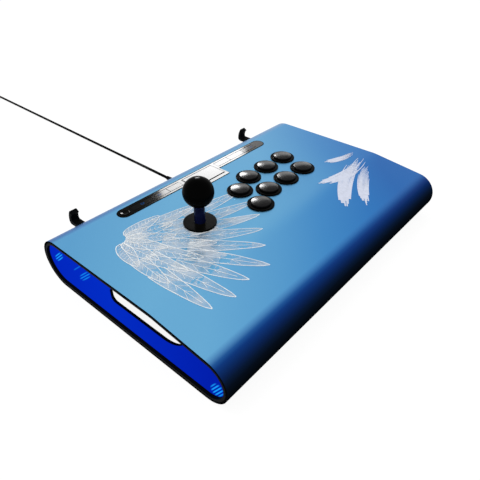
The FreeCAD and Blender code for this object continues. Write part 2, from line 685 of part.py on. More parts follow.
def e_clip():
    """Clip in the shaft's groove, under the actuator."""
    clip = disc(CLIP_D, LEVER_X, LEVER_Y, CLIP_Z, CLIP_Z + CLIP_T)
    clip = clip.cut(disc(SHAFT_D - 1.9, LEVER_X, LEVER_Y, CLIP_Z - 1, CLIP_Z + CLIP_T + 1))
    mouth = SHAFT_D / 2 - 1.2
    return clip.cut(box(LEVER_X, LEVER_X + CLIP_D, LEVER_Y - mouth, LEVER_Y + mouth,
                        CLIP_Z - 1, CLIP_Z + CLIP_T + 1))


def shaft_cover():
    """Loose sleeve over the bare shaft between the collar and the ball."""
    low = COLLAR_LOW + COLLAR_T + 0.05
    high = BALL_LOW - 0.1
    sleeve = disc(COVER_D, LEVER_X, LEVER_Y, low, high)
    return sleeve.cut(disc(SHAFT_D + 0.16, LEVER_X, LEVER_Y, low - 1, high + 1))


def ball_top():
    ball = Part.makeSphere(BALL_D / 2, V(LEVER_X, LEVER_Y, BALL_Z))
    ball = ball.common(disc(BALL_D + 2, LEVER_X, LEVER_Y, BALL_LOW, BALL_Z + BALL_D))
    return ball.cut(disc(THREAD_D + 0.1, LEVER_X, LEVER_Y, BALL_LOW - 1, BALL_LOW + THREAD_LENGTH + 0.5))


def dust_washer():
    """Disc that slides on the panel with the stick and hides the hole."""
    low = PANEL_TOP + 0.3
    washer = disc(WASHER_D, LEVER_X, LEVER_Y, low, low + WASHER_T)
    rim = [e for e in washer.Edges if e.BoundBox.ZMin > low + WASHER_T - 0.01 and e.Closed]
    washer = washer.makeFillet(0.5, rim)
    return washer.cut(disc(COVER_D + 1.2, LEVER_X, LEVER_Y, low - 1, low + WASHER_T + 1))


def lower_dust_washer():
    """Second washer, between the panel and the mounting plate."""
    low = PLATE_TOP + 0.3
    hole = COVER_D + 2 * (low + LOWER_WASHER_T - PIVOT_Z) * TAN_TILT + 1.2
    washer = disc(LOWER_WASHER_D, LEVER_X, LEVER_Y, low, low + LOWER_WASHER_T)
    return washer.cut(disc(hole, LEVER_X, LEVER_Y, low - 1, low + LOWER_WASHER_T + 1))


def lever_switches():
    """Switch board with a microswitch on each side of the actuator."""
    half = HOUSING_SIZE / 2 - HOUSING_WALL - 0.2
    low = HOUSING_LOW
    board = rounded_block(LEVER_X - half, LEVER_X + half, LEVER_Y - half, LEVER_Y + half,
                          low, low + BOARD_T, 2.0)
    opening = SWITCH_FACE + 0.5
    board = board.cut(rounded_block(LEVER_X - opening, LEVER_X + opening,
                                    LEVER_Y - opening, LEVER_Y + opening, low - 1, low + BOARD_T + 1, 2.0))
    length, depth, height = SWITCH_SIZE
    depth = min(depth, half - SWITCH_FACE - SWITCH_BUTTON)
    pieces = [board]
    for turn in (0, 90, 180, 270):
        start = SWITCH_FACE + SWITCH_BUTTON
        body = box(LEVER_X - length / 2, LEVER_X + length / 2, LEVER_Y + start, LEVER_Y + start + depth,
                   low + BOARD_T, low + BOARD_T + height)
        nub = box(LEVER_X - 1.5, LEVER_X + 1.5, LEVER_Y + SWITCH_FACE, LEVER_Y + start + 0.5,
                  low + BOARD_T + 1, low + BOARD_T + 4)
        body = body.fuse(nub)
        body.rotate(V(LEVER_X, LEVER_Y, 0), V(0, 0, 1), turn)
        pieces.append(body)
    return fuse_all(pieces)


def restrictor_gate():
    """Plate under the housing whose square opening stops the actuator."""
    half = HOUSING_SIZE / 2
    stop = ACTUATOR_D / 2 / math.cos(math.radians(TILT)) + (PIVOT_Z - ACTUATOR_LOW) * TAN_TILT + 0.5
    gate = rounded_block(LEVER_X - half, LEVER_X + half, LEVER_Y - half, LEVER_Y + half,
                         GATE_LOW, HOUSING_LOW, 4.0)
    return gate.cut(rounded_block(LEVER_X - stop, LEVER_X + stop, LEVER_Y - stop, LEVER_Y + stop,
                                  GATE_LOW - 1, HOUSING_LOW + 1, 2.0))


# ---- buttons ----

BARREL_LOW = PANEL_UNDER - BARREL_DEPTH
LIP_LOW = PANEL_TOP - 2.5
CAP_LOW = BARREL_LOW + 6.0


def button_housing(x, y):
    """Snap-in ring and barrel: an inner lip keeps the plunger in, two tabs hold the panel."""
    ring = disc(BEZEL_D, x, y, PANEL_TOP, PANEL_TOP + BEZEL_T)
    rim = [e for e in ring.Edges if e.BoundBox.ZMin > PANEL_TOP + BEZEL_T - 0.01 and e.Closed]
    ring = ring.makeFillet(0.9, rim)
    barrel = disc(BARREL_D, x, y, BARREL_LOW, PANEL_TOP)
    body = ring.fuse(barrel)
    body = body.cut(disc(CAP_D + 2 * CAP_GAP, x, y, LIP_LOW - 1, PANEL_TOP + 5))
    body = body.cut(disc(BARREL_D - 2 * BARREL_WALL, x, y, BARREL_LOW + BARREL_WALL, LIP_LOW))
    body = body.cut(disc(5.0, x, y, BARREL_LOW - 1, BARREL_LOW + 5))
    for side in (-1, 1):
        reach = BUTTON_HOLE_D / 2 + 0.7
        tab = box(-2.5, 2.5, BARREL_D / 2 - 1.0, reach, 0, 5.0)
        tab = tab.cut(Part.makeCylinder(8.0, 10, V(-5, reach + 7.0, -1.5), V(1, 0, 0)))
        tab.rotate(V(0, 0, 0), V(0, 0, 1), 90 + 90 * side)
        tab.translate(V(x, y, PANEL_UNDER - 0.2 - 5.0))
        body = body.fuse(tab)
    return body.removeSplitter()


def button_plunger(x, y):
    """Domed cap, hollow underneath, with a keeper flange under the lip and a stem to the switch."""
    edge = PANEL_TOP + CAP_EDGE
    top = edge + CAP_DOME
    dome_r = ((CAP_D / 2) ** 2 + CAP_DOME ** 2) / (2 * CAP_DOME)
    cap = disc(CAP_D, x, y, CAP_LOW, top + 1)
    cap = cap.common(Part.makeSphere(dome_r, V(x, y, top - dome_r)))
    ridge = [e for e in cap.Edges if abs(e.BoundBox.ZMin - edge) < 0.05 and e.BoundBox.ZLength < 0.1]
    cap = cap.makeFillet(0.9, ridge)
    flange_d = BARREL_D - 2 * BARREL_WALL - 2 * CAP_GAP
    cap = cap.fuse(disc(flange_d, x, y, CAP_LOW, LIP_LOW - 0.3))
    cap = cap.cut(disc(CAP_D - 2 * CAP_WALL, x, y, CAP_LOW - 1, edge - 1.0))
    stem_low = BARREL_LOW - 1.0 + BUTTON_TRAVEL
    return cap.fuse(disc(4.0, x, y, stem_low, edge - 0.5)).removeSplitter()


def button_switch(x, y):
    """Snap-in microswitch under a barrel, with its two blade terminals."""
    length, width, height = BUTTON_SWITCH
    body = box(x - length / 2, x + length / 2, y - width / 2, y + width / 2,
               BARREL_LOW - 1.2 - height, BARREL_LOW - 1.2)
    body = body.fuse(box(x - length / 2, x + length / 2, y - width / 2 - 2, y + width / 2 + 2,
                         BARREL_LOW - 1.2, BARREL_LOW))
    for side in (-1, 1):
        body = body.fuse(box(x + side * 4 - 0.4, x + side * 4 + 0.4, y - 1.5, y + 1.5,
                             BARREL_LOW - 6.0 - height, BARREL_LOW - height))
    return body.cut(disc(5.0, x, y, BARREL_LOW - 1.1, BARREL_LOW + 1))


# ---- rear: hooks, lead outlet, boards ----

def hook_stem_middle():
    return UNDERSIDE + HOOK_STEM_LOW + HOOK_STEM / 2


def cable_hook(side):
    """Moulded hook: a flat stem out of the rear round, turned up and leaning back to the body."""
    back = REAR_Y + HOOK_REACH
    low = UNDERSIDE + HOOK_STEM_LOW
    stem_top = low + HOOK_STEM
    high = UNDERSIDE + HOOK_TOP
    heel = 4.5
    tip_back = back - HOOK_LEAN
    tip_front = tip_back - HOOK_THICKNESS + 0.4
    inner = back - HOOK_THICKNESS - 0.8
    root = REAR_Y - REAR_ROUND / 2
    x = side * HOOK_X - HOOK_WIDTH / 2
    heel_low = V(x, back - heel, low)
    heel_back = V(x, back, low + heel)
    heel_mid = V(x, back - heel * (1 - math.sqrt(0.5)), low + heel * (1 - math.sqrt(0.5)))
    back_mid = V(x, back - 0.28 * HOOK_LEAN, low + heel + 0.55 * (high - low - heel))
    tip = V(x, tip_back, high)
    front = V(x, tip_front, high - 3.0)
    elbow = V(x, inner, stem_top + 2.0)
    edges = [
        Part.LineSegment(V(x, root, low), heel_low).toShape(),
        Part.Arc(heel_low, heel_mid, heel_back).toShape(),
        Part.Arc(heel_back, back_mid, tip).toShape(),
        Part.LineSegment(tip, front).toShape(),
        Part.Arc(front, V(x, inner - 0.4, (front.z + elbow.z) / 2), elbow).toShape(),
        Part.Arc(elbow, V(x, inner - 0.7, stem_top + 0.7), V(x, inner - 2.0, stem_top)).toShape(),
        Part.LineSegment(V(x, inner - 2.0, stem_top), V(x, root, stem_top)).toShape(),
        Part.LineSegment(V(x, root, stem_top), V(x, root, low)).toShape(),
    ]
    hook = Part.Face(Part.Wire(edges)).extrude(V(HOOK_WIDTH, 0, 0))
    rim = [e for e in hook.Edges if e.BoundBox.YMin > REAR_Y + 3 and e.BoundBox.XLength < 0.01]
    hook = hook.makeFillet(1.0, rim)
    hook = hook.cut(side_prism(-0.02, -END_X, END_X))
    start = V(side * HOOK_X, REAR_Y - 6, hook_stem_middle())
    hole = Part.makeCylinder(HOOK_SCREW_D / 2, 12.0, start, V(0, 1, 0))
    return hook.cut(hole)


def hook_screws():
    """Screws from inside the rear wall into the hooks."""
    screws = []
    z = hook_stem_middle()
    up = z - MIDDLE_Z
    inner_r = REAR_ROUND - SHEET
    wall_y = REAR_Y - REAR_ROUND + math.sqrt(inner_r ** 2 - (abs(up) + 3.4) ** 2)
    for side in (-1, 1):
        x = side * HOOK_X
        length = REAR_Y + 5.0 - wall_y
        shank = Part.makeCylinder(HOOK_SCREW_D / 2 - 0.05, length, V(x, wall_y - 0.5, z), V(0, 1, 0))
        head = Part.makeCylinder(3.4, 2.2, V(x, wall_y - 2.3, z), V(0, 1, 0))
        screws.append(shank.fuse(head))
    return Part.makeCompound(screws)


def along_y(d0, d1, y0, y1):
    """Round bar or taper along Y at the lead outlet."""
    if abs(d0 - d1) < 1e-6:
        return Part.makeCylinder(d0 / 2, y1 - y0, V(0, y0, MIDDLE_Z), V(0, 1, 0))
    return Part.makeCone(d0 / 2, d1 / 2, y1 - y0, V(0, y0, MIDDLE_Z), V(0, 1, 0))


BOOT_TIP_Y = REAR_Y + BOOT_REACH
WALL_IN_Y = REAR_Y - SHEET


def cord_gland():
    """Bush in the rear wall that the strain relief is pulled against."""
    out = REAR_Y + 1.2
    bush = along_y(GLAND_D, GLAND_D, WALL_IN_Y - 3.0, REAR_Y)
    bush = bush.fuse(along_y(GLAND_FLANGE_D, GLAND_FLANGE_D - 1.5, REAR_Y, out))
    bush = bush.fuse(along_y(GLAND_FLANGE_D, GLAND_FLANGE_D, WALL_IN_Y - 5.0, WALL_IN_Y - 3.0))
    return bush.cut(along_y(BOOT_ROOT_D + 0.1, BOOT_ROOT_D + 0.1, WALL_IN_Y - 6, out + 1))


def strain_relief():
    """Tapered rubber sleeve with flex grooves, moulded on the lead."""
    inner = WALL_IN_Y - 5.1
    sleeve = along_y(BOOT_ROOT_D, BOOT_ROOT_D, inner, REAR_Y + 1.2)
    sleeve = sleeve.fuse(along_y(BOOT_ROOT_D, BOOT_TIP_D, REAR_Y + 1.2, BOOT_TIP_Y))
    sleeve = sleeve.fuse(along_y(BOOT_ROOT_D + 3, BOOT_ROOT_D + 3, inner - 1.5, inner))
    for k in range(4):
        y = REAR_Y + 7.0 + 4.0 * k
        groove = along_y(BOOT_ROOT_D + 2, BOOT_ROOT_D + 2, y, y + 1.2)
        sleeve = sleeve.cut(groove.cut(along_y(CORD_D + 0.8, CORD_D + 0.8, y - 1, y + 3)))
    return sleeve.removeSplitter()


def board_places():
    x = BOARD_SIZE[0] / 2 - 4
    y = BOARD_SIZE[1] / 2 - 4
    return [(BOARD_CENTRE[0] + i * x, BOARD_CENTRE[1] + j * y) for i in (-1, 1) for j in (-1, 1)]


def main_board():
    """Controller board with its processor, header and the lead's socket."""
    x0 = BOARD_CENTRE[0] - BOARD_SIZE[0] / 2
    y0 = BOARD_CENTRE[1] - BOARD_SIZE[1] / 2
    low = FLOOR + BOARD_STANDOFF
    top = low + BOARD_T
    board = box(x0, x0 + BOARD_SIZE[0], y0, y0 + BOARD_SIZE[1], low, top)
    for x, y in board_places():
        board = board.cut(disc(3.2, x, y, low - 1, top + 1))
    chips = [(30, 20, 12, 12, 1.4), (52, 16, 8, 8, 1.2), (12, 34, 24, 6, 6.0), (70, 34, 24, 6, 6.0)]
    for cx, cy, length, width, height in chips:
        board = board.fuse(box(x0 + cx, x0 + cx + length, y0 + cy, y0 + cy + width, top, top + height))
    return board


def board_standoffs():
    """Threaded pillars and screws between the cover and the controller board."""
    pillars = []
    low = FLOOR + BOARD_STANDOFF
    for x, y in board_places():
        pillar = disc(6.0, x, y, FLOOR, low)
        pillar = pillar.fuse(disc(2.8, x, y, UNDERSIDE + 0.2, FLOOR))
        pillar = pillar.fuse(disc(3.0, x, y, low, low + BOARD_T))
        pillars.append(pillar.fuse(disc(5.5, x, y, low + BOARD_T, low + BOARD_T + 1.8)))
    return Part.makeCompound(pillars)


# ---- the lead ----

COIL_CENTRE = (-4.0, 812.0)
COIL_INNER_R = 15.0
COIL_LAYERS = 4
COIL_LOW = 0.9
COIL_STUB = 20.0
TIE_WIDTH = 16.0
TIE_T = 0.7
PLUG_BLOCK = (20.0, 12.0, 7.6)
PLUG_SHELL = (14.0, 12.0, 4.5)
PLUG_RELIEF = 10.0

# The lead's route: out of the relief, down to the table, straight back, then aside to its coil.
CORD_ROUTE = [
    V(0.0, BOOT_TIP_Y, MIDDLE_Z),
    V(0.0, 180.0, 32.6),
    V(9.2, 215.0, 24.5),
    V(24.4, 250.0, 11.0),
    V(34.3, 290.0, 2.1),
    V(33.0, 738.0, 2.1),
    V(25.0, 768.0, 2.9),
    V(25.0, 792.0, 2.9),
]

# From the top of the coil down to the plug beside it.
TAIL_ROUTE = [
    V(-24.0, 841.0, 14.9),
    V(-40.0, 841.0, 14.9),
    V(-68.0, 838.0, 4.1),
    V(-84.0, 838.0, 4.1),
]


def tube(points, diameter):
    """Round cord along straight runs joined by tangent arcs, each as wide as its runs allow."""
    edges = []
    start = points[0]
    radii = []
    for before, corner, after in zip(points, points[1:], points[2:]):
        to_back = before - corner
        to_next = after - corner
        run = min(to_back.Length, to_next.Length)
        to_back.normalize()
        to_next.normalize()
        turn = math.pi - to_back.getAngle(to_next)
        cut = 0.45 * run
        radius = cut / math.tan(turn / 2)
        radii.append(round(radius, 1))
        p0 = corner + to_back * cut
        p1 = corner + to_next * cut
        inwards = to_back + to_next
        inwards.normalize()
        depth = radius / math.cos(turn / 2) - radius
        edges.append(Part.LineSegment(start, p0).toShape())
        edges.append(Part.Arc(p0, corner + inwards * depth, p1).toShape())
        start = p1
    edges.append(Part.LineSegment(start, points[-1]).toShape())
    path = Part.Wire(edges)
    ahead = points[1] - points[0]
    ring = Part.Wire(Part.makeCircle(diameter / 2, points[0], ahead))
    solid = path.makePipeShell([ring], True, False)
    ideal = math.pi * diameter ** 2 / 4 * path.Length
    print("cord radii", radii, "length", round(path.Length, 1), "volume", round(solid.Volume / ideal, 4))
    return solid


def cable():
    """The lead where it isn't coiled: from the body to the coil, and from the coil to the plug."""
    return Part.makeCompound([tube(CORD_ROUTE, CORD_D), tube(TAIL_ROUTE, CORD_D)])


def cable_coil():
    """The spare length as one ring of its outer shape, with a stub where each end leaves it."""
    outer = COIL_INNER_R + COIL_LAYERS * CORD_D
    high = COIL_LOW + COIL_LAYERS * CORD_D
    x, y = COIL_CENTRE
    ring = disc(2 * outer, x, y, COIL_LOW, high)
    ring = ring.cut(disc(2 * COIL_INNER_R, x, y, COIL_LOW - 1, high + 1))
    rims = [e for e in ring.Edges if e.Closed and e.BoundBox.ZLength < 0.01]
    ring = ring.makeFillet(CORD_D / 2 - 0.1, rims)
    lane = outer - CORD_D / 2
    first = V(x + lane, y - COIL_STUB, COIL_LOW + CORD_D / 2)
    last = V(x, y + lane, high - CORD_D / 2)
    enter = Part.makeCylinder(CORD_D / 2, COIL_STUB, first, V(0, 1, 0))
    leave = Part.makeCylinder(CORD_D / 2, COIL_STUB, last, V(-1, 0, 0))
    return ring.fuse(enter).fuse(leave)


def cable_tie():
    """Hook-and-loop strap round the coil's section."""
    outer = COIL_INNER_R + COIL_LAYERS * CORD_D
    high = COIL_LOW + COIL_LAYERS * CORD_D
    x, y = COIL_CENTRE
    gap = 0.05
    out = TIE_T + gap
    y0 = y - TIE_WIDTH / 2
    y1 = y + TIE_WIDTH / 2
    near = x - math.sqrt(COIL_INNER_R ** 2 - (TIE_WIDTH / 2) ** 2)
    far = x - outer
    strap = rounded_section(far - out, near + out, y0, y1, COIL_LOW - out, high + out, 1.5)
    return strap.cut(rounded_section(far - gap, near + gap, y0 - 1, y1 + 1, COIL_LOW - gap, high + gap, 0.8))


def rounded_section(x0, x1, y0, y1, z0, z1, radius):
    """Block with its four edges along Y rounded."""
    block = box(x0, x1, y0, y1, z0, z1)
    along = [e for e in block.Edges if abs(e.tangentAt(e.FirstParameter).y) > 0.99]
    return block.makeFillet(radius, along)


def usb_plug():
    """Moulded plug with its relief and the hollow metal shell round the contact tongue."""
    end = TAIL_ROUTE[-1]
    relief = Part.makeCone(CORD_D / 2 + 0.6, CORD_D / 2 + 1.4, PLUG_RELIEF, end, V(-1, 0, 0))
    length, width, height = PLUG_BLOCK
    back = end.x - PLUG_RELIEF
    front = back - length
    block = box(front, back, end.y - width / 2, end.y + width / 2,
                end.z - height / 2, end.z + height / 2)
    block = block.makeFillet(2.0, [e for e in block.Edges if abs(e.tangentAt(e.FirstParameter).x) > 0.99])
    reach, wide, thick = PLUG_SHELL
    shell = box(front - reach, front + 1, end.y - wide / 2 + 0.01, end.y + wide / 2 - 0.01,
                end.z - thick / 2, end.z + thick / 2)
    hollow = box(front - reach - 1, front, end.y - wide / 2 + 0.4, end.y + wide / 2 - 0.4,
                 end.z - thick / 2 + 0.4, end.z + thick / 2 - 0.4)
    tongue = box(front - reach + 0.8, front + 0.5, end.y - wide / 2 + 0.9, end.y + wide / 2 - 0.9,
                 end.z - thick / 2 + 0.4, end.z - thick / 2 + 2.2)
    return fuse_all([relief, block, shell.cut(hollow), tongue])


def build():
    save("body_shell", body_shell())
    frame = end_frame()
    save("end_frame_right", frame)
    save("end_frame_left", mirrored(frame))
    panel = light_panel()
    save("light_panel_right", panel)
    save("light_panel_left", mirrored(panel))
    leds = led_board()
    save("led_board_right", leds)
    save("led_board_left", mirrored(leds))
    liner = hand_liner()
    save("hand_liner_right", liner)
    save("hand_liner_left", mirrored(liner))
    save("access_cover", access_cover())
    save("cover_ledge", cover_ledge())
    save("cover_screws", cover_screws())
    save("foam_pad", foam_pad())
    save("control_strip", control_strip())
    save("touch_keys", touch_keys())
    save("touchpad", touchpad())
    save("home_button", home_button())
    save("strip_board", strip_board())
    save("lever_plate", lever_plate())
    save("lever_fasteners", lever_fasteners())
    save("lever_housing", lever_housing())
    save("lever_switches", lever_switches())
    save("restrictor_gate", restrictor_gate())
    save("pivot_ball", pivot_ball())
    save("lever_spring", lever_spring())
    save("lever_actuator", lever_actuator())
    save("lever_shaft", lever_shaft())
    save("e_clip", e_clip())
    save("shaft_cover", shaft_cover())
    save("ball_top", ball_top())
    save("dust_washer", dust_washer())
    save("lower_dust_washer", lower_dust_washer())
    switches = []
    for number, (x, y) in enumerate(button_places(), start=1):
        save("button_housing_%d" % number, button_housing(x, y))
        save("button_plunger_%d" % number, button_plunger(x, y))
        switches.append(button_switch(x, y))
    save("button_switches", Part.makeCompound(switches))
    save("hook_left", cable_hook(-1))
    save("hook_right", cable_hook(1))
    save("hook_screws", hook_screws())
    save("cord_gland", cord_gland())
    save("strain_relief", strain_relief())
    save("main_board", main_board())
    save("board_standoffs", board_standoffs())
    save("cable", cable())
    save("cable_coil", cable_coil())
    save("cable_tie", cable_tie())
    save("usb_plug", usb_plug())


build()
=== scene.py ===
import bmesh
import bpy
import math
import random
from mathutils import Matrix, Vector


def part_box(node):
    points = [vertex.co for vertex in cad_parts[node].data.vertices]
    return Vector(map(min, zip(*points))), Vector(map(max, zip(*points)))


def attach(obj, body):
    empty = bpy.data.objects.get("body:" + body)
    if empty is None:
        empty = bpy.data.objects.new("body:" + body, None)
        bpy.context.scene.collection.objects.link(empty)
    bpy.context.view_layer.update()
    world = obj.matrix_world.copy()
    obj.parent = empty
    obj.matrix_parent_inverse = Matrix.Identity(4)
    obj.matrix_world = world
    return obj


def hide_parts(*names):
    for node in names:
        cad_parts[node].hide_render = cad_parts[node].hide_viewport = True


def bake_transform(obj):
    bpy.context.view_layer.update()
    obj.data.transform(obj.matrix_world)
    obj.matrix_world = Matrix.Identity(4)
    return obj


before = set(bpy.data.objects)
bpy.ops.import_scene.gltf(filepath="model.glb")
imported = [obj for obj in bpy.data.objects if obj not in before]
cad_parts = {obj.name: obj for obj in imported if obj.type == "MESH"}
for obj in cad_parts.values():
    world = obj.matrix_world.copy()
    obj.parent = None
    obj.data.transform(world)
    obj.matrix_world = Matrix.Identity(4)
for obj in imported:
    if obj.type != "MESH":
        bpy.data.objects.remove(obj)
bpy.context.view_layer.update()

# ---- The camera ----
# A tripod stands behind the player's left shoulder and looks down across the console towards its
# rear right corner, through a 35 mm lens on a full-frame body.


def set_out(name, data):
    """Put a new object with this data into the scene."""
    made = bpy.data.objects.new(name, data)
    bpy.context.scene.collection.objects.link(made)
    return made


camera_data = bpy.data.cameras.new("camera")
camera_data.sensor_width = 36.0
camera_data.lens = 35.02
camera_data.clip_end = 20.0
camera = set_out("camera", camera_data)
right = Vector((0.65516, -0.75549, 0.00251))
up = Vector((0.45578, 0.39790, 0.79620))
back = right.cross(up)
camera.matrix_world = Matrix((
    (right.x, up.x, back.x, -0.37595),
    (right.y, up.y, back.y, -0.30849),
    (right.z, up.z, back.z, 0.36694),
    (0, 0, 0, 1),
))
bpy.context.scene.camera = camera
bpy.context.scene.view_settings.view_transform = "Standard"

# ---- The table and the light ----
# A white sweep in an even white room, with one soft lamp overhead. Five more soft boxes stand behind
# and to the right. Each is flagged off everything but some of the gloss black pieces, which mirror it.

ROOM_FILL = 0.80
TABLE_GLOW = 0.92


def add(tree, kind, **settings):
    """A new node with its properties set; a name that starts with in_ sets an input by index or name."""
    made = tree.nodes.new(kind)
    for key, value in settings.items():
        if key.startswith("in_"):
            socket = key[3:].replace("_", " ")
            made.inputs[int(socket) if socket.isdigit() else socket].default_value = value
        else:
            setattr(made, key, value)
    return made


def join(tree, source, output, target, socket):
    tree.links.new(source.outputs[output], target.inputs[socket])


def remap(tree, low, high, start=0.0, end=1.0, **settings):
    """Carry the range from low to high over to the range from start to end."""
    return add(tree, "ShaderNodeMapRange", in_1=low, in_2=high, in_3=start, in_4=end, **settings)


def background_rays(tree):
    """One for camera, glossy and transmission rays, which see the white room, and nought for the rest."""
    rays = add(tree, "ShaderNodeLightPath")
    either = add(tree, "ShaderNodeMath", operation="MAXIMUM")
    any_of_three = add(tree, "ShaderNodeMath", operation="MAXIMUM")
    join(tree, rays, "Is Camera Ray", either, 0)
    join(tree, rays, "Is Glossy Ray", either, 1)
    join(tree, either, 0, any_of_three, 0)
    join(tree, rays, "Is Transmission Ray", any_of_three, 1)
    return any_of_three


world = bpy.data.worlds.new("studio")
bpy.context.scene.world = world
world.use_nodes = True
tree = world.node_tree
tree.nodes.clear()
seen = background_rays(tree)
level = remap(tree, 0.0, 1.0, ROOM_FILL, 1.0)
room = add(tree, "ShaderNodeBackground", in_Color=(1, 1, 1, 1))
room_out = add(tree, "ShaderNodeOutputWorld")
join(tree, seen, 0, level, 0)
join(tree, level, 0, room, "Strength")
join(tree, room, 0, room_out, 0)

reach = 6.0
floor_mesh = bpy.data.meshes.new("table")
corners = [(-reach, -reach, 0), (reach, -reach, 0), (reach, reach, 0), (-reach, reach, 0)]
floor_mesh.from_pydata(corners, [], [(0, 1, 2, 3)])
floor = set_out("table", floor_mesh)
white = bpy.data.materials.new("table_white")
white.use_nodes = True
tree = white.node_tree
tree.nodes.clear()
seen = background_rays(tree)
paper = add(tree, "ShaderNodeBsdfDiffuse")
paper_tone = add(tree, "ShaderNodeMix", data_type="RGBA", in_6=(0.8, 0.8, 0.8, 1),
                 in_7=(0.13, 0.13, 0.13, 1))
glow = add(tree, "ShaderNodeEmission", in_Color=(1, 1, 1, 1))
glow_level = add(tree, "ShaderNodeMath", operation="MULTIPLY", in_1=TABLE_GLOW)
both = add(tree, "ShaderNodeAddShader")
out = add(tree, "ShaderNodeOutputMaterial")
join(tree, seen, 0, glow_level, 0)
join(tree, glow_level, 0, glow, "Strength")
join(tree, seen, 0, paper_tone, 0)
join(tree, paper_tone, 2, paper, 0)
join(tree, paper, 0, both, 0)
join(tree, glow, 0, both, 1)
join(tree, both, 0, out, 0)
floor_mesh.materials.append(white)


def lamp(name, place, target, across, size, power):
    """A rectangular soft box at place, facing target, with its long side along across."""
    data = bpy.data.lights.new(name, "AREA")
    data.shape = "RECTANGLE"
    data.size, data.size_y = size
    data.energy = power
    made = set_out(name, data)
    back = (Vector(place) - Vector(target)).normalized()
    side = Vector(across) - back * back.dot(Vector(across))
    side.normalize()
    top = back.cross(side)
    made.matrix_world = Matrix((
        (side.x, top.x, back.x, place[0]),
        (side.y, top.y, back.y, place[1]),
        (side.z, top.z, back.z, place[2]),
        (0, 0, 0, 1),
    ))
    return made


def only_on(light, nodes):
    """Let a lamp reach only these nodes, as a flag or a snoot does in a studio."""
    reached = bpy.data.collections.new(light.name + "_reach")
    for node in nodes:
        reached.objects.link(bpy.data.objects[node])
    light.light_linking.receiver_collection = reached


overhead = lamp("overhead", (-0.6, 0.5, 1.6), (0, 0, 0.05), (1, 0, 0), (0.8, 0.8), 5.0)
overhead.visible_glossy = False
buttons = range(1, 9)
strip_nodes = ["control_strip", "touch_keys", "touchpad", "home_button"]
housing_nodes = ["button_housing_%d" % number for number in buttons]
plunger_nodes = ["button_plunger_%d" % number for number in buttons]
slant_along = (0.795, -0.486, -0.362)
mirror_box = lamp("mirror_box", (0.7376, 0.8518, 0.6365), (0.132, 0.210, 0.168), slant_along,
                  (0.36, 0.26), 29.0)
only_on(mirror_box, strip_nodes)
side_box = lamp("side_box", (0.948, 0.717, 0.548), (0.342, 0.075, 0.079), slant_along,
                (0.15, 0.26), 1.1)
only_on(side_box, strip_nodes)
cap_box = lamp("cap_box", (0.705, 0.861, 0.655), (0.099, 0.219, 0.186), slant_along,
               (0.30, 0.22), 16.0)
only_on(cap_box, plunger_nodes + ["ball_top"])
low_box = lamp("low_box", (0.98, 0.62, 0.50), (0.07, 0.01, 0.06), slant_along, (0.90, 0.30), 4.0)
only_on(low_box, plunger_nodes + ["dust_washer"])
rim_box = lamp("rim_box", (0.30, 0.95, 0.60), (0.04, 0.0, 0.06), (1, 0, 0), (0.5, 0.1), 9.0)
only_on(rim_box, housing_nodes)

# ---- The body's sheet ----
# One aluminium sheet, bent round the rear and front edges. It is satin anodised blue, with painted light
# and shade in its colour: a painted highlight makes it sky blue on the left and rear, painted shade deepens
# it to the right, on the wrist slope and along the rear round, and painted shade fades it to navy and black
# round the front edge and underneath. The cut ends are black.

FRONT_ROUND_R = 0.0262
REAR_ROUND_R = 0.0301
body_low, body_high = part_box("body_shell")
front_round = (body_low[1] + FRONT_ROUND_R, body_low[2] + FRONT_ROUND_R)
rear_round = (body_high[1] - REAR_ROUND_R, body_high[2] - REAR_ROUND_R)


def material(name):
    made = bpy.data.materials.new(name)
    made.use_nodes = True
    made.node_tree.nodes.clear()
    return made, made.node_tree


def finish_with(tree, shader):
    out = add(tree, "ShaderNodeOutputMaterial")
    join(tree, shader, 0, out, 0)


def dress(made, *nodes):
    """Give each CAD node's object this material in every slot."""
    for node in nodes:
        mesh = bpy.data.objects[node].data
        mesh.materials.clear()
        mesh.materials.append(made)


def srgb(r, g, b):
    """A colour written as screen levels from 0 to 255, as Blender's linear values."""
    def linear(level):
        level /= 255
        return level / 12.92 if level <= 0.04045 else ((level + 0.055) / 1.055) ** 2.4
    return (linear(r), linear(g), linear(b), 1)


def ramp(tree, stops):
    """Colour ramp from (place, colour) pairs."""
    made = add(tree, "ShaderNodeValToRGB")
    line = made.color_ramp
    for (place, colour), element in zip(stops, [line.elements[0], line.elements[1]]):
        element.position = place
        element.color = colour
    for place, colour in stops[2:]:
        element = line.elements.new(place)
        element.color = colour
    return made


blue, tree = material("anodised_blue_painted_shade")
where = add(tree, "ShaderNodeTexCoord")
axes = add(tree, "ShaderNodeSeparateXYZ")
join(tree, where, "Object", axes, 0)
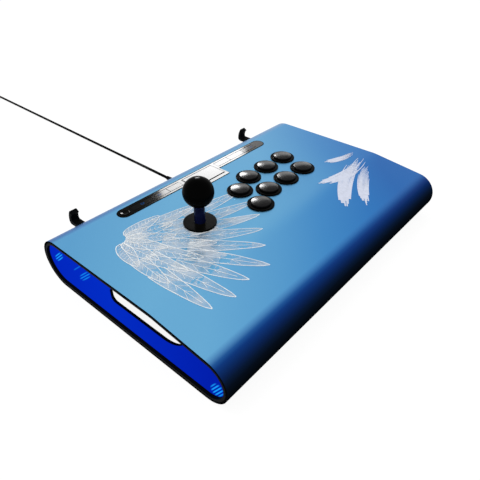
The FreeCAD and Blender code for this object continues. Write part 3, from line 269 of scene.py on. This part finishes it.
# Painted highlight and shade over the top: lighter at the left and rear, darker to the right and front, on
# the wrist slope and at the rear right.
slant = add(tree, "ShaderNodeMath", operation="MULTIPLY_ADD", in_1=-1.2)
join(tree, axes, "Y", slant, 0)
join(tree, axes, "X", slant, 2)
wrist = remap(tree, -0.040, -0.075, 0.0, 0.075, interpolation_type="SMOOTHSTEP")
join(tree, axes, "Y", wrist, 0)
rear_right = remap(tree, 0.08, 0.20, 0.0, 0.05, interpolation_type="SMOOTHSTEP")
join(tree, axes, "X", rear_right, 0)
deeper = add(tree, "ShaderNodeMath", operation="ADD")
join(tree, wrist, 0, deeper, 0)
join(tree, rear_right, 0, deeper, 1)
shade = add(tree, "ShaderNodeMath", operation="ADD")
join(tree, slant, 0, shade, 0)
join(tree, deeper, 0, shade, 1)
spread = remap(tree, -0.30, 0.40)
join(tree, shade, 0, spread, 0)
top_blue_painted_light = ramp(tree, [
    (0.0, srgb(92, 160, 206)),
    (1.0, srgb(34, 104, 178)),
    (0.22, srgb(107, 173, 213)),
    (0.45, srgb(105, 171, 213)),
    (0.60, srgb(88, 156, 206)),
    (0.72, srgb(66, 138, 198)),
    (0.86, srgb(44, 118, 188)),
])
join(tree, spread, 0, top_blue_painted_light, 0)
# Painted shade round the front edge and underneath: the blue fades to navy and black as the sheet turns
# down, and the metal shine fades with it so the painted shade stays dark.
turn_y = add(tree, "ShaderNodeMath", operation="SUBTRACT", in_1=front_round[0])
turn_z = add(tree, "ShaderNodeMath", operation="SUBTRACT", in_1=front_round[1])
join(tree, axes, "Y", turn_y, 0)
join(tree, axes, "Z", turn_z, 0)
forward = add(tree, "ShaderNodeMath", operation="MULTIPLY", in_1=-1.0)
join(tree, turn_y, 0, forward, 0)
turned = add(tree, "ShaderNodeMath", operation="ARCTAN2")
join(tree, forward, 0, turned, 0)
join(tree, turn_z, 0, turned, 1)
front_share = remap(tree, 0.0, math.pi / 2)
join(tree, turned, 0, front_share, 0)
low_share = remap(tree, body_low[2] + 0.010, body_low[2])
join(tree, axes, "Z", low_share, 0)
round_share = add(tree, "ShaderNodeMath", operation="MAXIMUM")
join(tree, front_share, 0, round_share, 0)
join(tree, low_share, 0, round_share, 1)
round_shade_cover = ramp(tree, [
    (0.0, (0, 0, 0, 1)),
    (1.0, (1, 1, 1, 1)),
    (0.11, (0.45, 0.45, 0.45, 1)),
    (0.22, (0.94, 0.94, 0.94, 1)),
    (0.30, (1, 1, 1, 1)),
])
join(tree, round_share, 0, round_shade_cover, 0)
round_painted_shade = ramp(tree, [
    (0.0, srgb(48, 100, 170)),
    (1.0, srgb(6, 11, 17)),
    (0.22, srgb(26, 78, 148)),
    (0.33, srgb(18, 56, 124)),
    (0.44, srgb(15, 46, 104)),
    (0.55, srgb(13, 35, 80)),
    (0.66, srgb(11, 27, 54)),
    (0.80, srgb(8, 17, 30)),
])
join(tree, round_share, 0, round_painted_shade, 0)
# Painted shade along the rear round: a darker band, deepest at the left.
behind = remap(tree, rear_round[0] + 0.001, rear_round[0] + 0.008)
join(tree, axes, "Y", behind, 0)
band_place = remap(tree, body_low[0], body_high[0])
join(tree, axes, "X", band_place, 0)
rear_painted_shade = ramp(tree, [
    (0.0, srgb(40, 106, 172)),
    (1.0, srgb(104, 154, 200)),
    (0.3, srgb(66, 128, 184)),
    (0.5, srgb(92, 144, 192)),
])
join(tree, band_place, 0, rear_painted_shade, 0)
banded = add(tree, "ShaderNodeMix", data_type="RGBA")
join(tree, behind, 0, banded, 0)
join(tree, top_blue_painted_light, 0, banded, 6)
join(tree, rear_painted_shade, 0, banded, 7)
faded = add(tree, "ShaderNodeMix", data_type="RGBA")
join(tree, round_shade_cover, 0, faded, 0)
join(tree, banded, 2, faded, 6)
join(tree, round_painted_shade, 0, faded, 7)
facing = add(tree, "ShaderNodeSeparateXYZ")
join(tree, where, "Normal", facing, 0)
sideways = add(tree, "ShaderNodeMath", operation="ABSOLUTE")
join(tree, facing, "X", sideways, 0)
cut_edge = add(tree, "ShaderNodeMath", operation="GREATER_THAN", in_1=0.7)
join(tree, sideways, 0, cut_edge, 0)
edged = add(tree, "ShaderNodeMix", data_type="RGBA")
edged.inputs[7].default_value = srgb(8, 9, 11)
join(tree, cut_edge, 0, edged, 0)
join(tree, faded, 2, edged, 6)
grain = add(tree, "ShaderNodeTexNoise", in_Scale=900.0, in_Detail=4.0)
join(tree, where, "Object", grain, "Vector")
rough = remap(tree, 0.3, 0.7, 0.33, 0.39)
join(tree, grain, 0, rough, 0)
bump = add(tree, "ShaderNodeBump", in_Strength=0.02, in_Distance=0.0001)
join(tree, grain, 0, bump, "Height")
under = remap(tree, 0.12, 0.45, 0.88, 0.0)
join(tree, round_share, 0, under, 0)
metal = add(tree, "ShaderNodeMath", operation="SUBTRACT", use_clamp=True)
join(tree, under, 0, metal, 0)
join(tree, cut_edge, 0, metal, 1)
satin = add(tree, "ShaderNodeBsdfPrincipled")
satin.inputs["Specular IOR Level"].default_value = 0.0
join(tree, edged, 2, satin, "Base Color")
join(tree, rough, 0, satin, "Roughness")
join(tree, metal, 0, satin, "Metallic")
join(tree, bump, 0, satin, "Normal")
finish_with(tree, satin)
dress(blue, "body_shell")

# ---- The underside ----
# A black steel cover closes the service opening, held by countersunk screws in an aluminium ledge,
# and a ribbed silicone pad is glued over it so that the console doesn't slide.


def grained(name, dark, light, scale, roughness, specular, metallic=0.0, relief=0.0):
    """A finish whose shade wanders between two tones at a grain of 1/scale metres."""
    made, tree = material(name)
    where = add(tree, "ShaderNodeTexCoord")
    grain = add(tree, "ShaderNodeTexNoise", in_Scale=scale, in_Detail=3.0)
    join(tree, where, "Object", grain, "Vector")
    tint = ramp(tree, [(0.3, srgb(*dark)), (0.7, srgb(*light))])
    join(tree, grain, 0, tint, 0)
    surface = add(tree, "ShaderNodeBsdfPrincipled", in_Roughness=roughness, in_Metallic=metallic)
    surface.inputs["Specular IOR Level"].default_value = specular
    join(tree, tint, 0, surface, "Base Color")
    if relief:
        bump = add(tree, "ShaderNodeBump", in_Strength=relief, in_Distance=0.0002)
        join(tree, grain, 0, bump, "Height")
        join(tree, bump, 0, surface, "Normal")
    finish_with(tree, surface)
    return made


powder_coat = grained("powder_coat", (12, 12, 13), (20, 20, 22), 1600.0, 0.55, 0.2, relief=0.25)
dress(powder_coat, "access_cover", "lever_plate")
ledge_alloy = grained("ledge_alloy", (150, 152, 156), (172, 174, 178), 420.0, 0.4, 0.5, metallic=1.0)
dress(ledge_alloy, "cover_ledge")
bare_steel = grained("bare_steel", (128, 128, 130), (158, 158, 160), 700.0, 0.3, 0.5, metallic=1.0)
dress(bare_steel, "cover_screws", "hook_screws", "lever_fasteners")

pad_rubber, tree = material("pad_rubber")
where = add(tree, "ShaderNodeTexCoord")
ribs = add(tree, "ShaderNodeTexWave", bands_direction="Y", in_Scale=60.0, in_Distortion=0.0)
join(tree, where, "Object", ribs, "Vector")
speck = add(tree, "ShaderNodeTexNoise", in_Scale=900.0)
join(tree, where, "Object", speck, "Vector")
tint = ramp(tree, [(0.3, srgb(24, 24, 26)), (0.7, srgb(38, 38, 40))])
join(tree, speck, 0, tint, 0)
bump = add(tree, "ShaderNodeBump", in_Strength=0.5, in_Distance=0.0006)
join(tree, ribs, 0, bump, "Height")
rubber = add(tree, "ShaderNodeBsdfPrincipled", in_Roughness=0.85)
rubber.inputs["Specular IOR Level"].default_value = 0.15
join(tree, tint, 0, rubber, "Base Color")
join(tree, bump, 0, rubber, "Normal")
finish_with(tree, rubber)
dress(pad_rubber, "foam_pad")

# ---- The black mouldings ----
# Injection-moulded end frames, hand pockets, hooks, bush and relief, with a fine spark-eroded
# texture that hardly shines. The end frames push into the body and the hooks are screwed on.

black_moulding = grained("black_moulding", (6, 7, 8), (12, 13, 15), 1400.0, 0.5, 0.015, relief=0.12)
dress(black_moulding, "end_frame_left", "end_frame_right", "hand_liner_left", "hand_liner_right",
      "hook_left", "hook_right", "cord_gland", "strain_relief")

# ---- The lit end panels ----
# Clear acrylic with blue LED boards glued to its back. The light is even and deep blue, with cyan
# glints of the LED rows near the rear and in the front tip. The edge of the finger window is black.

GLINT_PITCH = 0.0028
rear_run = (-0.75, 0.66)
tip_run = (-0.53, 0.85)
led_glints = [
    # place from rear to front, height, run of the strokes, half across, half along, brightness
    (0.103, 0.040, rear_run, 0.0050, 0.014, 1.0),
    (0.067, 0.044, rear_run, 0.0016, 0.013, 0.35),
    (0.054, 0.040, rear_run, 0.0046, 0.018, 0.65),
    (-0.135, 0.019, tip_run, 0.0075, 0.011, 1.0),
]
lit, tree = material("lit_acrylic")
where = add(tree, "ShaderNodeTexCoord")
axes = add(tree, "ShaderNodeSeparateXYZ")
join(tree, where, "Object", axes, 0)


def maths(tree, operation, *sources):
    """A maths node on its sources, each a node or a number."""
    made = add(tree, "ShaderNodeMath", operation=operation)
    for socket, value in enumerate(sources):
        if isinstance(value, (int, float)):
            made.inputs[socket].default_value = value
        else:
            join(tree, value, 0, made, socket)
    return made


def measured(tree, axes, y, z, y_share, z_share):
    """How far a point of the panel lies from (y, z) along the direction (y_share, z_share)."""
    part_y = add(tree, "ShaderNodeMath", operation="MULTIPLY", in_1=y_share)
    join(tree, axes, "Y", part_y, 0)
    part_z = add(tree, "ShaderNodeMath", operation="MULTIPLY", in_1=z_share)
    join(tree, axes, "Z", part_z, 0)
    return maths(tree, "SUBTRACT", maths(tree, "ADD", part_y, part_z), y * y_share + z * z_share)


glint = None
for y, z, run, half_across, half_along, bright in led_glints:
    along = maths(tree, "DIVIDE", measured(tree, axes, y, z, run[0], run[1]), half_along)
    across = measured(tree, axes, y, z, run[1], -run[0])
    aside = maths(tree, "DIVIDE", across, half_across)
    spread_out = maths(tree, "ADD", maths(tree, "MULTIPLY", along, along),
                       maths(tree, "MULTIPLY", aside, aside))
    patch = remap(tree, 0.4, 1.0, bright, 0.0)
    join(tree, spread_out, 0, patch, 0)
    wave = maths(tree, "COSINE", maths(tree, "MULTIPLY", across, 2 * math.pi / GLINT_PITCH))
    strokes_on = remap(tree, -0.3, 0.5)
    join(tree, wave, 0, strokes_on, 0)
    strokes_lit = maths(tree, "MULTIPLY", patch, strokes_on)
    glint = maths(tree, "MAXIMUM", glint, strokes_lit) if glint else strokes_lit
depth = remap(tree, body_low[1], body_high[1])
join(tree, axes, "Y", depth, 0)
deep_blue = ramp(tree, [
    (0.0, srgb(2, 28, 168)),
    (1.0, srgb(2, 38, 190)),
    (0.35, srgb(2, 38, 186)),
    (0.60, srgb(2, 44, 196)),
])
join(tree, depth, 0, deep_blue, 0)
glowing = add(tree, "ShaderNodeMix", data_type="RGBA")
glowing.inputs[7].default_value = srgb(24, 158, 255)
join(tree, glint, 0, glowing, 0)
join(tree, deep_blue, 0, glowing, 6)
facing = add(tree, "ShaderNodeSeparateXYZ")
join(tree, where, "Normal", facing, 0)
sideways = add(tree, "ShaderNodeMath", operation="ABSOLUTE")
join(tree, facing, "X", sideways, 0)
face_on = add(tree, "ShaderNodeMath", operation="GREATER_THAN", in_1=0.7)
join(tree, sideways, 0, face_on, 0)
masked = add(tree, "ShaderNodeMix", data_type="RGBA")
masked.inputs[6].default_value = srgb(2, 3, 8)
join(tree, face_on, 0, masked, 0)
join(tree, glowing, 2, masked, 7)
acrylic = add(tree, "ShaderNodeBsdfPrincipled", in_Roughness=0.2)
acrylic.inputs["Base Color"].default_value = srgb(1, 2, 10)
acrylic.inputs["Specular IOR Level"].default_value = 0.0
acrylic.inputs["Emission Strength"].default_value = 1.0
join(tree, masked, 2, acrylic, "Emission Color")
finish_with(tree, acrylic)
dress(lit, "light_panel_left", "light_panel_right")
led_mask = grained("led_mask", (206, 210, 214), (226, 230, 232), 500.0, 0.5, 0.3)
dress(led_mask, "led_board_left", "led_board_right")

# ---- The touch strip ----
# A gloss black fascia bonded into the panel, with two bars of touch keys, a clicking touchpad and a
# round button. The keys' frames and the strip's border are printed in matt black, the marks in blue.
# A matt black ring round the touchpad is painted shadow of the gap it sits in.

strip_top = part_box("touch_keys")[1][2]
pad_low, pad_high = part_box("touchpad")
keys_low, keys_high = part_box("touch_keys")
home_low, home_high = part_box("home_button")
STRIP_REACH = 0.1313
STRIP_HALF = 0.0093
BORDER_INSET = 0.0005
BORDER_WIDTH = 0.0009
STRIP_FILM_LIFT = 0.00003
LINE_STEP = 0.0000002       # each line of the film lies this much above the last
KEY_BAR_ENDS = (0.0325, 0.1125)
KEY_SPLITS = (-0.0545, -0.0800, 0.0578, 0.0880)
KEY_MARGIN = 0.0004
KEY_FRAME_WIDTH = 0.0008
PAD_MARGIN = 0.0008
MARK_PLACES = (-0.0960, -0.0690, 0.1060)
MARK_R = 0.0016
MARK_BAR_OFFSET = 0.0026
MARK_BAR_HALF = 0.0012
strip_y = (home_low[1] + home_high[1]) / 2
tab_front = pad_low[1] - 0.0066
tab_half = 0.030


def polished(name, dark, light, roughness, specular):
    """A polished black moulding, with faint smears that change how sharply it mirrors."""
    made, tree = material(name)
    where = add(tree, "ShaderNodeTexCoord")
    smear = add(tree, "ShaderNodeTexNoise", in_Scale=45.0, in_Detail=3.0)
    join(tree, where, "Object", smear, "Vector")
    tint = ramp(tree, [(0.3, srgb(*dark)), (0.7, srgb(*light))])
    join(tree, smear, 0, tint, 0)
    rough = remap(tree, 0.3, 0.7, roughness * 0.8, roughness * 1.2)
    join(tree, smear, 0, rough, 0)
    shine = add(tree, "ShaderNodeBsdfPrincipled")
    shine.inputs["Specular IOR Level"].default_value = specular
    join(tree, tint, 0, shine, "Base Color")
    join(tree, rough, 0, shine, "Roughness")
    finish_with(tree, shine)
    return made


strip_gloss = polished("strip_gloss", (3, 3, 3), (6, 6, 5), 0.10, 0.016)
dress(strip_gloss, *strip_nodes)


def film_piece(name, points, faces):
    """A thin film as a piece of its own: ink, and the painted shadow round the touchpad."""
    mesh = bpy.data.meshes.new(name)
    mesh.from_pydata(points, [], faces)
    mesh.update()
    return set_out(name, mesh)


def ribbon_mesh(name, lines, height):
    """Flat ribbons of ink, and of painted shadow round the touchpad: each line is (points, width, closed),
    laid on a surface of the given height.
    """
    mesh_points = []
    faces = []
    for number, (points, width, closed) in enumerate(lines):
        count = len(points)
        start = len(mesh_points)
        film = number * LINE_STEP
        for index, (x, y) in enumerate(points):
            if closed:
                before, after = points[index - 1], points[(index + 1) % count]
            else:
                before, after = points[max(index - 1, 0)], points[min(index + 1, count - 1)]
            run = Vector((after[0] - before[0], after[1] - before[1])).normalized()
            half = (width(index / (count - 1)) if callable(width) else width) / 2
            for side in (-half, half):
                px, py = x - run.y * side, y + run.x * side
                mesh_points.append((px, py, height(px, py) + film))
        for index in range(count if closed else count - 1):
            a = start + 2 * index
            b = start + 2 * ((index + 1) % count)
            faces.append((a, a + 1, b + 1, b))
    return film_piece(name, mesh_points, faces)


def arc(cx, cy, radius, start, end, steps=16):
    """Points on an arc between two angles in degrees."""
    angles = [math.radians(start + (end - start) * k / steps) for k in range(steps + 1)]
    return [(cx + radius * math.cos(a), cy + radius * math.sin(a)) for a in angles]


def frame_line(x0, x1, y0, y1):
    return [(x0, y0), (x1, y0), (x1, y1), (x0, y1)]


edge_r = STRIP_HALF - BORDER_INSET
cap_x = STRIP_REACH - STRIP_HALF
border = arc(cap_x, strip_y, edge_r, -90, 90) + arc(-cap_x, strip_y, edge_r, 90, 270)
tab_edge = tab_half - BORDER_INSET
border += [(-tab_edge, strip_y - edge_r), (-tab_edge, tab_front), (tab_edge, tab_front),
           (tab_edge, strip_y - edge_r)]
strip_lines = [(border, BORDER_WIDTH, True)]
for side in (-1, 1):
    x0, x1 = sorted(side * end for end in KEY_BAR_ENDS)
    key_frame = frame_line(x0, x1, keys_low[1] - KEY_MARGIN, keys_high[1] + KEY_MARGIN)
    strip_lines.append((key_frame, KEY_FRAME_WIDTH, True))
for x in KEY_SPLITS:
    strip_lines.append(([(x, keys_low[1]), (x, keys_high[1])], KEY_FRAME_WIDTH, False))
# Painted shadow: a matt black ring round the touchpad, in the gap it sits in.
pad_painted_shadow = frame_line(pad_low[0] - PAD_MARGIN, pad_high[0] + PAD_MARGIN,
                       pad_low[1] - PAD_MARGIN, pad_high[1] + PAD_MARGIN)
strip_lines.append((pad_painted_shadow, BORDER_WIDTH, True))
strip_ink_and_painted_shadow = ribbon_mesh("strip_ink_and_painted_shadow", strip_lines, lambda x, y: strip_top + STRIP_FILM_LIFT)
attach(strip_ink_and_painted_shadow, "console")
matt_ink_and_painted_shadow = grained("matt_ink_and_painted_shadow", (8, 8, 9), (14, 14, 15), 900.0, 0.7, 0.0)
strip_ink_and_painted_shadow.data.materials.append(matt_ink_and_painted_shadow)
marks = []
for x in MARK_PLACES:
    bar_x = x + MARK_BAR_OFFSET
    marks.append((arc(x, strip_y, MARK_R, 0, 330, 12), 0.0005, False))
    marks.append(([(bar_x, strip_y - MARK_BAR_HALF), (bar_x, strip_y + MARK_BAR_HALF)], 0.0006, False))
key_marks = ribbon_mesh("key_marks", marks, lambda x, y: strip_top + STRIP_FILM_LIFT)
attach(key_marks, "console")
blue_ink = grained("blue_ink", (20, 74, 140), (30, 92, 160), 900.0, 0.6, 0.0)
key_marks.data.materials.append(blue_ink)

# ---- The boards ----
# Etched glass-fibre boards under the strip, in the lever and on the cover, with green mask over copper
# tracks. The board on the cover stands on brass pillars.

solder_mask, tree = material("solder_mask")
where = add(tree, "ShaderNodeTexCoord")
tracks = add(tree, "ShaderNodeTexBrick", in_Scale=160.0)
tracks.inputs["Color1"].default_value = srgb(10, 62, 36)
tracks.inputs["Color2"].default_value = srgb(16, 76, 44)
tracks.inputs["Mortar"].default_value = srgb(40, 108, 60)
tracks.inputs["Mortar Size"].default_value = 0.03
join(tree, where, "Object", tracks, "Vector")
lacquer = add(tree, "ShaderNodeBsdfPrincipled", in_Roughness=0.3)
lacquer.inputs["Specular IOR Level"].default_value = 0.4
join(tree, tracks, 0, lacquer, "Base Color")
finish_with(tree, lacquer)
dress(solder_mask, "strip_board", "main_board", "lever_switches")
brass = grained("brass", (168, 132, 62), (190, 152, 80), 500.0, 0.32, 0.5, metallic=1.0)
dress(brass, "board_standoffs")

# ---- The lever ----
# A moulded body with the pivot's cup, the switch board and the square gate hang under the panel. The
# plated shaft carries the sleeve, the clip, the loose cover and the gloss black ball; two discs slide
# with it over and under the hole. The spring is cut across its middle into two halves.

dress(black_moulding, "lever_housing", "lower_dust_washer")
gate_ivory = grained("gate_ivory", (196, 190, 170), (210, 205, 186), 300.0, 0.45, 0.3)
dress(gate_ivory, "restrictor_gate", "pivot_ball", "lever_actuator")
shaft_steel = grained("shaft_steel", (168, 170, 174), (190, 192, 196), 240.0, 0.18, 0.5, metallic=1.0)
dress(shaft_steel, "lever_shaft", "lever_spring", "e_clip")
spring = bpy.data.objects["lever_spring"]
spring_low, spring_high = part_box("lever_spring")
spring_middle = Vector([(a + b) / 2 for a, b in zip(spring_low, spring_high)])
spring_top = Vector((spring_middle.x, spring_middle.y, spring_high[2]))
spring_foot = Vector((spring_middle.x, spring_middle.y, spring_low[2]))
for name, upper, seat, moved, start, end in (
        ("spring_upper_turns", True, "console", "lever_pivot", spring_top, spring_middle),
        ("spring_lower_turns", False, "lever_pivot", "lever_rocker", spring_middle, spring_foot)):
    turns_mesh = bmesh.new()
    turns_mesh.from_mesh(spring.data)
    turns_mesh.transform(spring.matrix_world)
    everything = turns_mesh.verts[:] + turns_mesh.edges[:] + turns_mesh.faces[:]
    bmesh.ops.bisect_plane(turns_mesh, geom=everything, plane_co=spring_middle, plane_no=(0, 0, 1),
                           clear_inner=upper, clear_outer=not upper)
    half_mesh = bpy.data.meshes.new(name)
    turns_mesh.to_mesh(half_mesh)
    turns_mesh.free()
    half_mesh.materials.clear()
    half_mesh.materials.append(shaft_steel)
    half = set_out(name, half_mesh)
    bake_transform(half)
    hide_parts("lever_spring")
# The cover is black gloss; its navy tint is a painted reflection of the blue panel.
navy_sleeve = grained("navy_sleeve", (6, 9, 34), (12, 18, 52), 120.0, 0.25, 0.04)
dress(navy_sleeve, "shaft_cover")
ball_gloss = polished("ball_gloss", (2, 2, 2), (4, 4, 4), 0.20, 0.010)
dress(ball_gloss, "ball_top")
washer_gloss = polished("washer_gloss", (7, 7, 6), (13, 12, 10), 0.22, 0.02)
dress(washer_gloss, "dust_washer")

# ---- The buttons ----
# Eight snap-in push buttons: a gloss black ring, a polished domed cap and a microswitch under the
# barrel. The caps are a little softer than the rings.

ring_gloss = polished("ring_gloss", (3, 3, 3), (6, 6, 6), 0.12, 0.02)
dress(ring_gloss, *housing_nodes)
cap_gloss = polished("cap_gloss", (7, 7, 8), (12, 12, 13), 0.20, 0.05)
dress(cap_gloss, *plunger_nodes)
switch_case = grained("switch_case", (24, 24, 26), (34, 34, 36), 800.0, 0.5, 0.3)
dress(switch_case, "button_switches")

# ---- The print on the panel ----
# Screen-printed on the anodised sheet: on the left a wing of layered feathers in white line over a
# thin white wash, on the right dry brush strokes in pale lavender. The wing's films aren't cut at the
# holes: they run on under the washer and the two nearest buttons.

BEND_TO_REAR = 0.1856
BEND_Y = body_high[1] - BEND_TO_REAR
BEND_R = 0.060
along_slope = BEND_Y - front_round[0]
rise = body_high[2] - front_round[1]
slope = math.atan2(rise, along_slope) - math.asin(FRONT_ROUND_R / math.hypot(rise, along_slope))
bend_centre = BEND_Y + BEND_R * math.tan(slope / 2)


def panel_height(y):
    """Height of the panel's face: flat, then the bend, then the wrist slope."""
    if y > bend_centre:
        return body_high[2]
    turned = math.asin(min((bend_centre - y) / BEND_R, 1.0))
    if turned < slope:
        return body_high[2] - BEND_R * (1 - math.cos(turned))
    return body_high[2] - (BEND_Y - y) * math.tan(slope)


def ink_height(lift):
    return lambda x, y: panel_height(y) + lift


def leaf(root, angle, length, width, bow, steps=22):
    """Left side, middle line and right side of a feather that bows to one side, from root to tip."""
    left, middle, right_side = [], [], []
    for k in range(steps + 1):
        t = k / steps
        turn = math.radians(angle + bow * t)
        if k == 0:
            x, y = root
        else:
            x += math.cos(turn) * length / steps
            y += math.sin(turn) * length / steps
        half = width / 2 * (math.sin(math.pi * t ** 0.7) ** 0.6 if 0 < t < 1 else 0.02)
        middle.append((x, y))
        left.append((x - math.sin(turn) * half, y + math.cos(turn) * half))
        right_side.append((x + math.sin(turn) * half, y - math.cos(turn) * half))
    return left, middle, right_side


EDGE_INK = 0.0009
QUILL_INK = 0.0006
BARB_INK = 0.0004
WASH_LIFT = 0.00006
WASH_STEP = 0.000002        # each feather's wash lies this much above the last
BRUSH_LIFT = 0.00010
LINE_LIFT = 0.00015
shoulder = (-0.160, 0.054)
rows = [
    # feathers, distance of their roots, first and last angle, length at each end, width, bow, part hidden
    (9, 0.022, -92.0, -12.0, 0.114, 0.146, 0.0205, 18.0, 0.42),
    (7, 0.016, -96.0, -8.0, 0.070, 0.092, 0.0190, 14.0, 0.40),
    (6, 0.010, -104.0, 0.0, 0.040, 0.054, 0.0170, 10.0, 0.0),
]
chance = random.Random(5)
line_work = []
washes = []
for count, gap, first, last, short, long, width, bow, hidden in rows:
    for k in range(count):
        share = k / (count - 1)
        angle = first + (last - first) * share
        length = short + (long - short) * math.sin(math.pi * (0.1 + 0.6 * share))
        length *= chance.uniform(0.94, 1.05)
        turn = math.radians(angle)
        root = (shoulder[0] + gap * math.cos(turn), shoulder[1] + gap * math.sin(turn))
        left, middle, right_side = leaf(root, angle - bow / 2, length, width, bow)
        start = int(hidden * (len(middle) - 1))
        left, middle, right_side = left[start:], middle[start:], right_side[start:]
        washes.append((left, right_side))
        line_work.append((left, EDGE_INK, False))
        line_work.append((right_side, EDGE_INK, False))
        line_work.append((middle[:-2], QUILL_INK, False))
        for barb in range(1, len(middle) - 5, 2):
            for side in (left, right_side):
                tip = side[barb + 2]
                stem = middle[barb]
                reach_in = chance.uniform(0.5, 0.95)
                end = (stem[0] + (tip[0] - stem[0]) * reach_in, stem[1] + (tip[1] - stem[1]) * reach_in)
                line_work.append(([stem, end], BARB_INK, False))


def wash_mesh(name, sides, lift):
    """Filled leaves, each a hair above the last so that their films overlap cleanly."""
    mesh_points = []
    faces = []
    for number, (left, right_side) in enumerate(sides):
        height = ink_height(lift + number * WASH_STEP)
        start = len(mesh_points)
        for (lx, ly), (rx, ry) in zip(left, right_side):
            mesh_points += [(lx, ly, height(lx, ly)), (rx, ry, height(rx, ry))]
        for k in range(len(left) - 1):
            a = start + 2 * k
            faces.append((a, a + 1, a + 3, a + 2))
    return film_piece(name, mesh_points, faces)


def ink(name, colour, thin, thick, scale):
    """Screen ink whose cover wanders between thin and thick."""
    made, tree = material(name)
    where = add(tree, "ShaderNodeTexCoord")
    cloud = add(tree, "ShaderNodeTexNoise", in_Scale=scale, in_Detail=3.0)
    join(tree, where, "Object", cloud, "Vector")
    cover = remap(tree, 0.35, 0.65, thin, thick)
    join(tree, cloud, 0, cover, 0)
    film = add(tree, "ShaderNodeBsdfPrincipled", in_Roughness=0.6)
    film.inputs["Base Color"].default_value = colour
    film.inputs["Specular IOR Level"].default_value = 0.1
    join(tree, cover, 0, film, "Alpha")
    finish_with(tree, film)
    return made


wash = wash_mesh("feather_wash", washes, WASH_LIFT)
wash.data.materials.append(ink("wash_ink", srgb(236, 244, 250), 0.08, 0.50, 42.0))
feather_lines = ribbon_mesh("feather_lines", line_work, ink_height(LINE_LIFT))
feather_lines.data.materials.append(ink("line_ink", srgb(246, 250, 252), 0.75, 1.0, 120.0))

strokes = [
    # start, first heading, length, total turn in degrees, widest
    ((0.062, -0.098), 38.0, 0.140, -34.0, 0.0170),
    ((0.088, -0.112), 42.0, 0.116, -36.0, 0.0140),
    ((0.084, -0.044), -26.0, 0.110, 46.0, 0.0150),
    ((0.138, -0.018), -34.0, 0.060, 40.0, 0.0100),
]
BRISTLES = 11
STROKE_STEPS = 26
brushed = []
for start, heading, length, turn, widest in strokes:
    spine = [start]
    for k in range(STROKE_STEPS):
        angle = math.radians(heading + turn * k / STROKE_STEPS)
        x, y = spine[-1]
        spine.append((x + math.cos(angle) * length / STROKE_STEPS,
                      y + math.sin(angle) * length / STROKE_STEPS))
    for bristle in range(BRISTLES):
        place = (bristle / (BRISTLES - 1) - 0.5) * widest
        edge = abs(place) / widest * 2
        first = int(chance.uniform(0, 3) + 3 * edge)
        last = STROKE_STEPS - int(chance.uniform(0, 7) + 6 * edge)
        line = []
        for k in range(first, last + 1):
            angle = math.radians(heading + turn * k / STROKE_STEPS)
            press = math.sin(math.pi * (0.12 + 0.80 * k / STROKE_STEPS)) ** 0.5
            x = spine[k][0] - math.sin(angle) * place * press
            y = spine[k][1] + math.cos(angle) * place * press
            line.append((x, y))
        thickness = widest / BRISTLES * chance.uniform(0.95, 1.35)
        brushed.append((line, lambda t, w=thickness: w * (1 - 0.75 * t ** 3), False))
brush_marks = ribbon_mesh("brush_marks", brushed, ink_height(BRUSH_LIFT))
brush_marks.data.materials.append(ink("brush_ink", srgb(222, 228, 246), 0.90, 1.0, 260.0))
for piece in (wash, feather_lines, brush_marks):
    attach(piece, "console")

# ---- The USB lead ----
# About three metres of thin PVC-jacketed cable. It leaves the moulded relief at the middle of the rear wall,
# dips to the table, runs straight back and ends in a tied coil of sixteen turns with its plug beside it.

CORD_D = 0.004
TURNS_PER_LAYER = 4
STEPS = 16
strain_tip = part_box("strain_relief")[1][1]
route = [
    (0.0, strain_tip, 0.0326),
    (0.0, 0.180, 0.0326),
    (0.0092, 0.215, 0.0245),
    (0.0244, 0.250, 0.011),
    (0.0343, 0.290, 0.0021),
    (0.0342, 0.332, 0.0021),
    (0.0331, 0.707, 0.0021),
    (0.033, 0.738, 0.0021),
    (0.025, 0.768, 0.0029),
    (0.025, 0.792, 0.0029),
]
tail = [
    (-0.024, 0.841, 0.0149),
    (-0.040, 0.841, 0.0149),
    (-0.068, 0.838, 0.0041),
    (-0.084, 0.838, 0.0041),
]
coil_x, coil_y = -0.004, 0.812
row_low = route[-1][2]
inner_lane = 0.017
shrink = 1 / 0.981      # a smooth spline runs this much inside the points of a turn
lanes = []
for row in range(TURNS_PER_LAYER):
    across = [inner_lane + k * CORD_D for k in range(TURNS_PER_LAYER)]
    if row % 2 == 0:
        across.reverse()
    lanes += [(radius, row_low + row * CORD_D) for radius in across]
turns = []
step_count = STEPS * len(lanes) + STEPS // 4
for step in range(1, step_count):
    lane = min(step // STEPS, len(lanes) - 1)
    part = step / STEPS - lane
    radius, height = lanes[lane]
    if part > 0.75 and lane + 1 < len(lanes):
        share = (part - 0.75) / 0.25
        radius += (lanes[lane + 1][0] - radius) * share
        height += (lanes[lane + 1][1] - height) * share
    angle = 2 * math.pi * step / STEPS
    x = coil_x + shrink * radius * math.cos(angle)
    y = coil_y + shrink * radius * math.sin(angle)
    turns.append((x, y, height))
cord_points = route + turns + tail
cord_curve = bpy.data.curves.new("lead", "CURVE")
cord_curve.dimensions = "3D"
cord_curve.bevel_depth = 1.0
cord_curve.bevel_resolution = 5
cord_curve.resolution_u = 6
cord_curve.use_fill_caps = True
spline = cord_curve.splines.new("NURBS")
spline.points.add(len(cord_points) - 1)
for point, place in zip(spline.points, cord_points):
    point.co = (*place, 1)
    point.radius = CORD_D / 2
spline.order_u = 3
spline.use_endpoint_u = True
lead = set_out("lead", cord_curve)
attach(lead, "console")
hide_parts("cable", "cable_coil")
jacket = grained("jacket", (5, 5, 6), (10, 10, 11), 700.0, 0.55, 0.02)
cord_curve.materials.append(jacket)
dress(jacket, "cable_tie", "usb_plug")
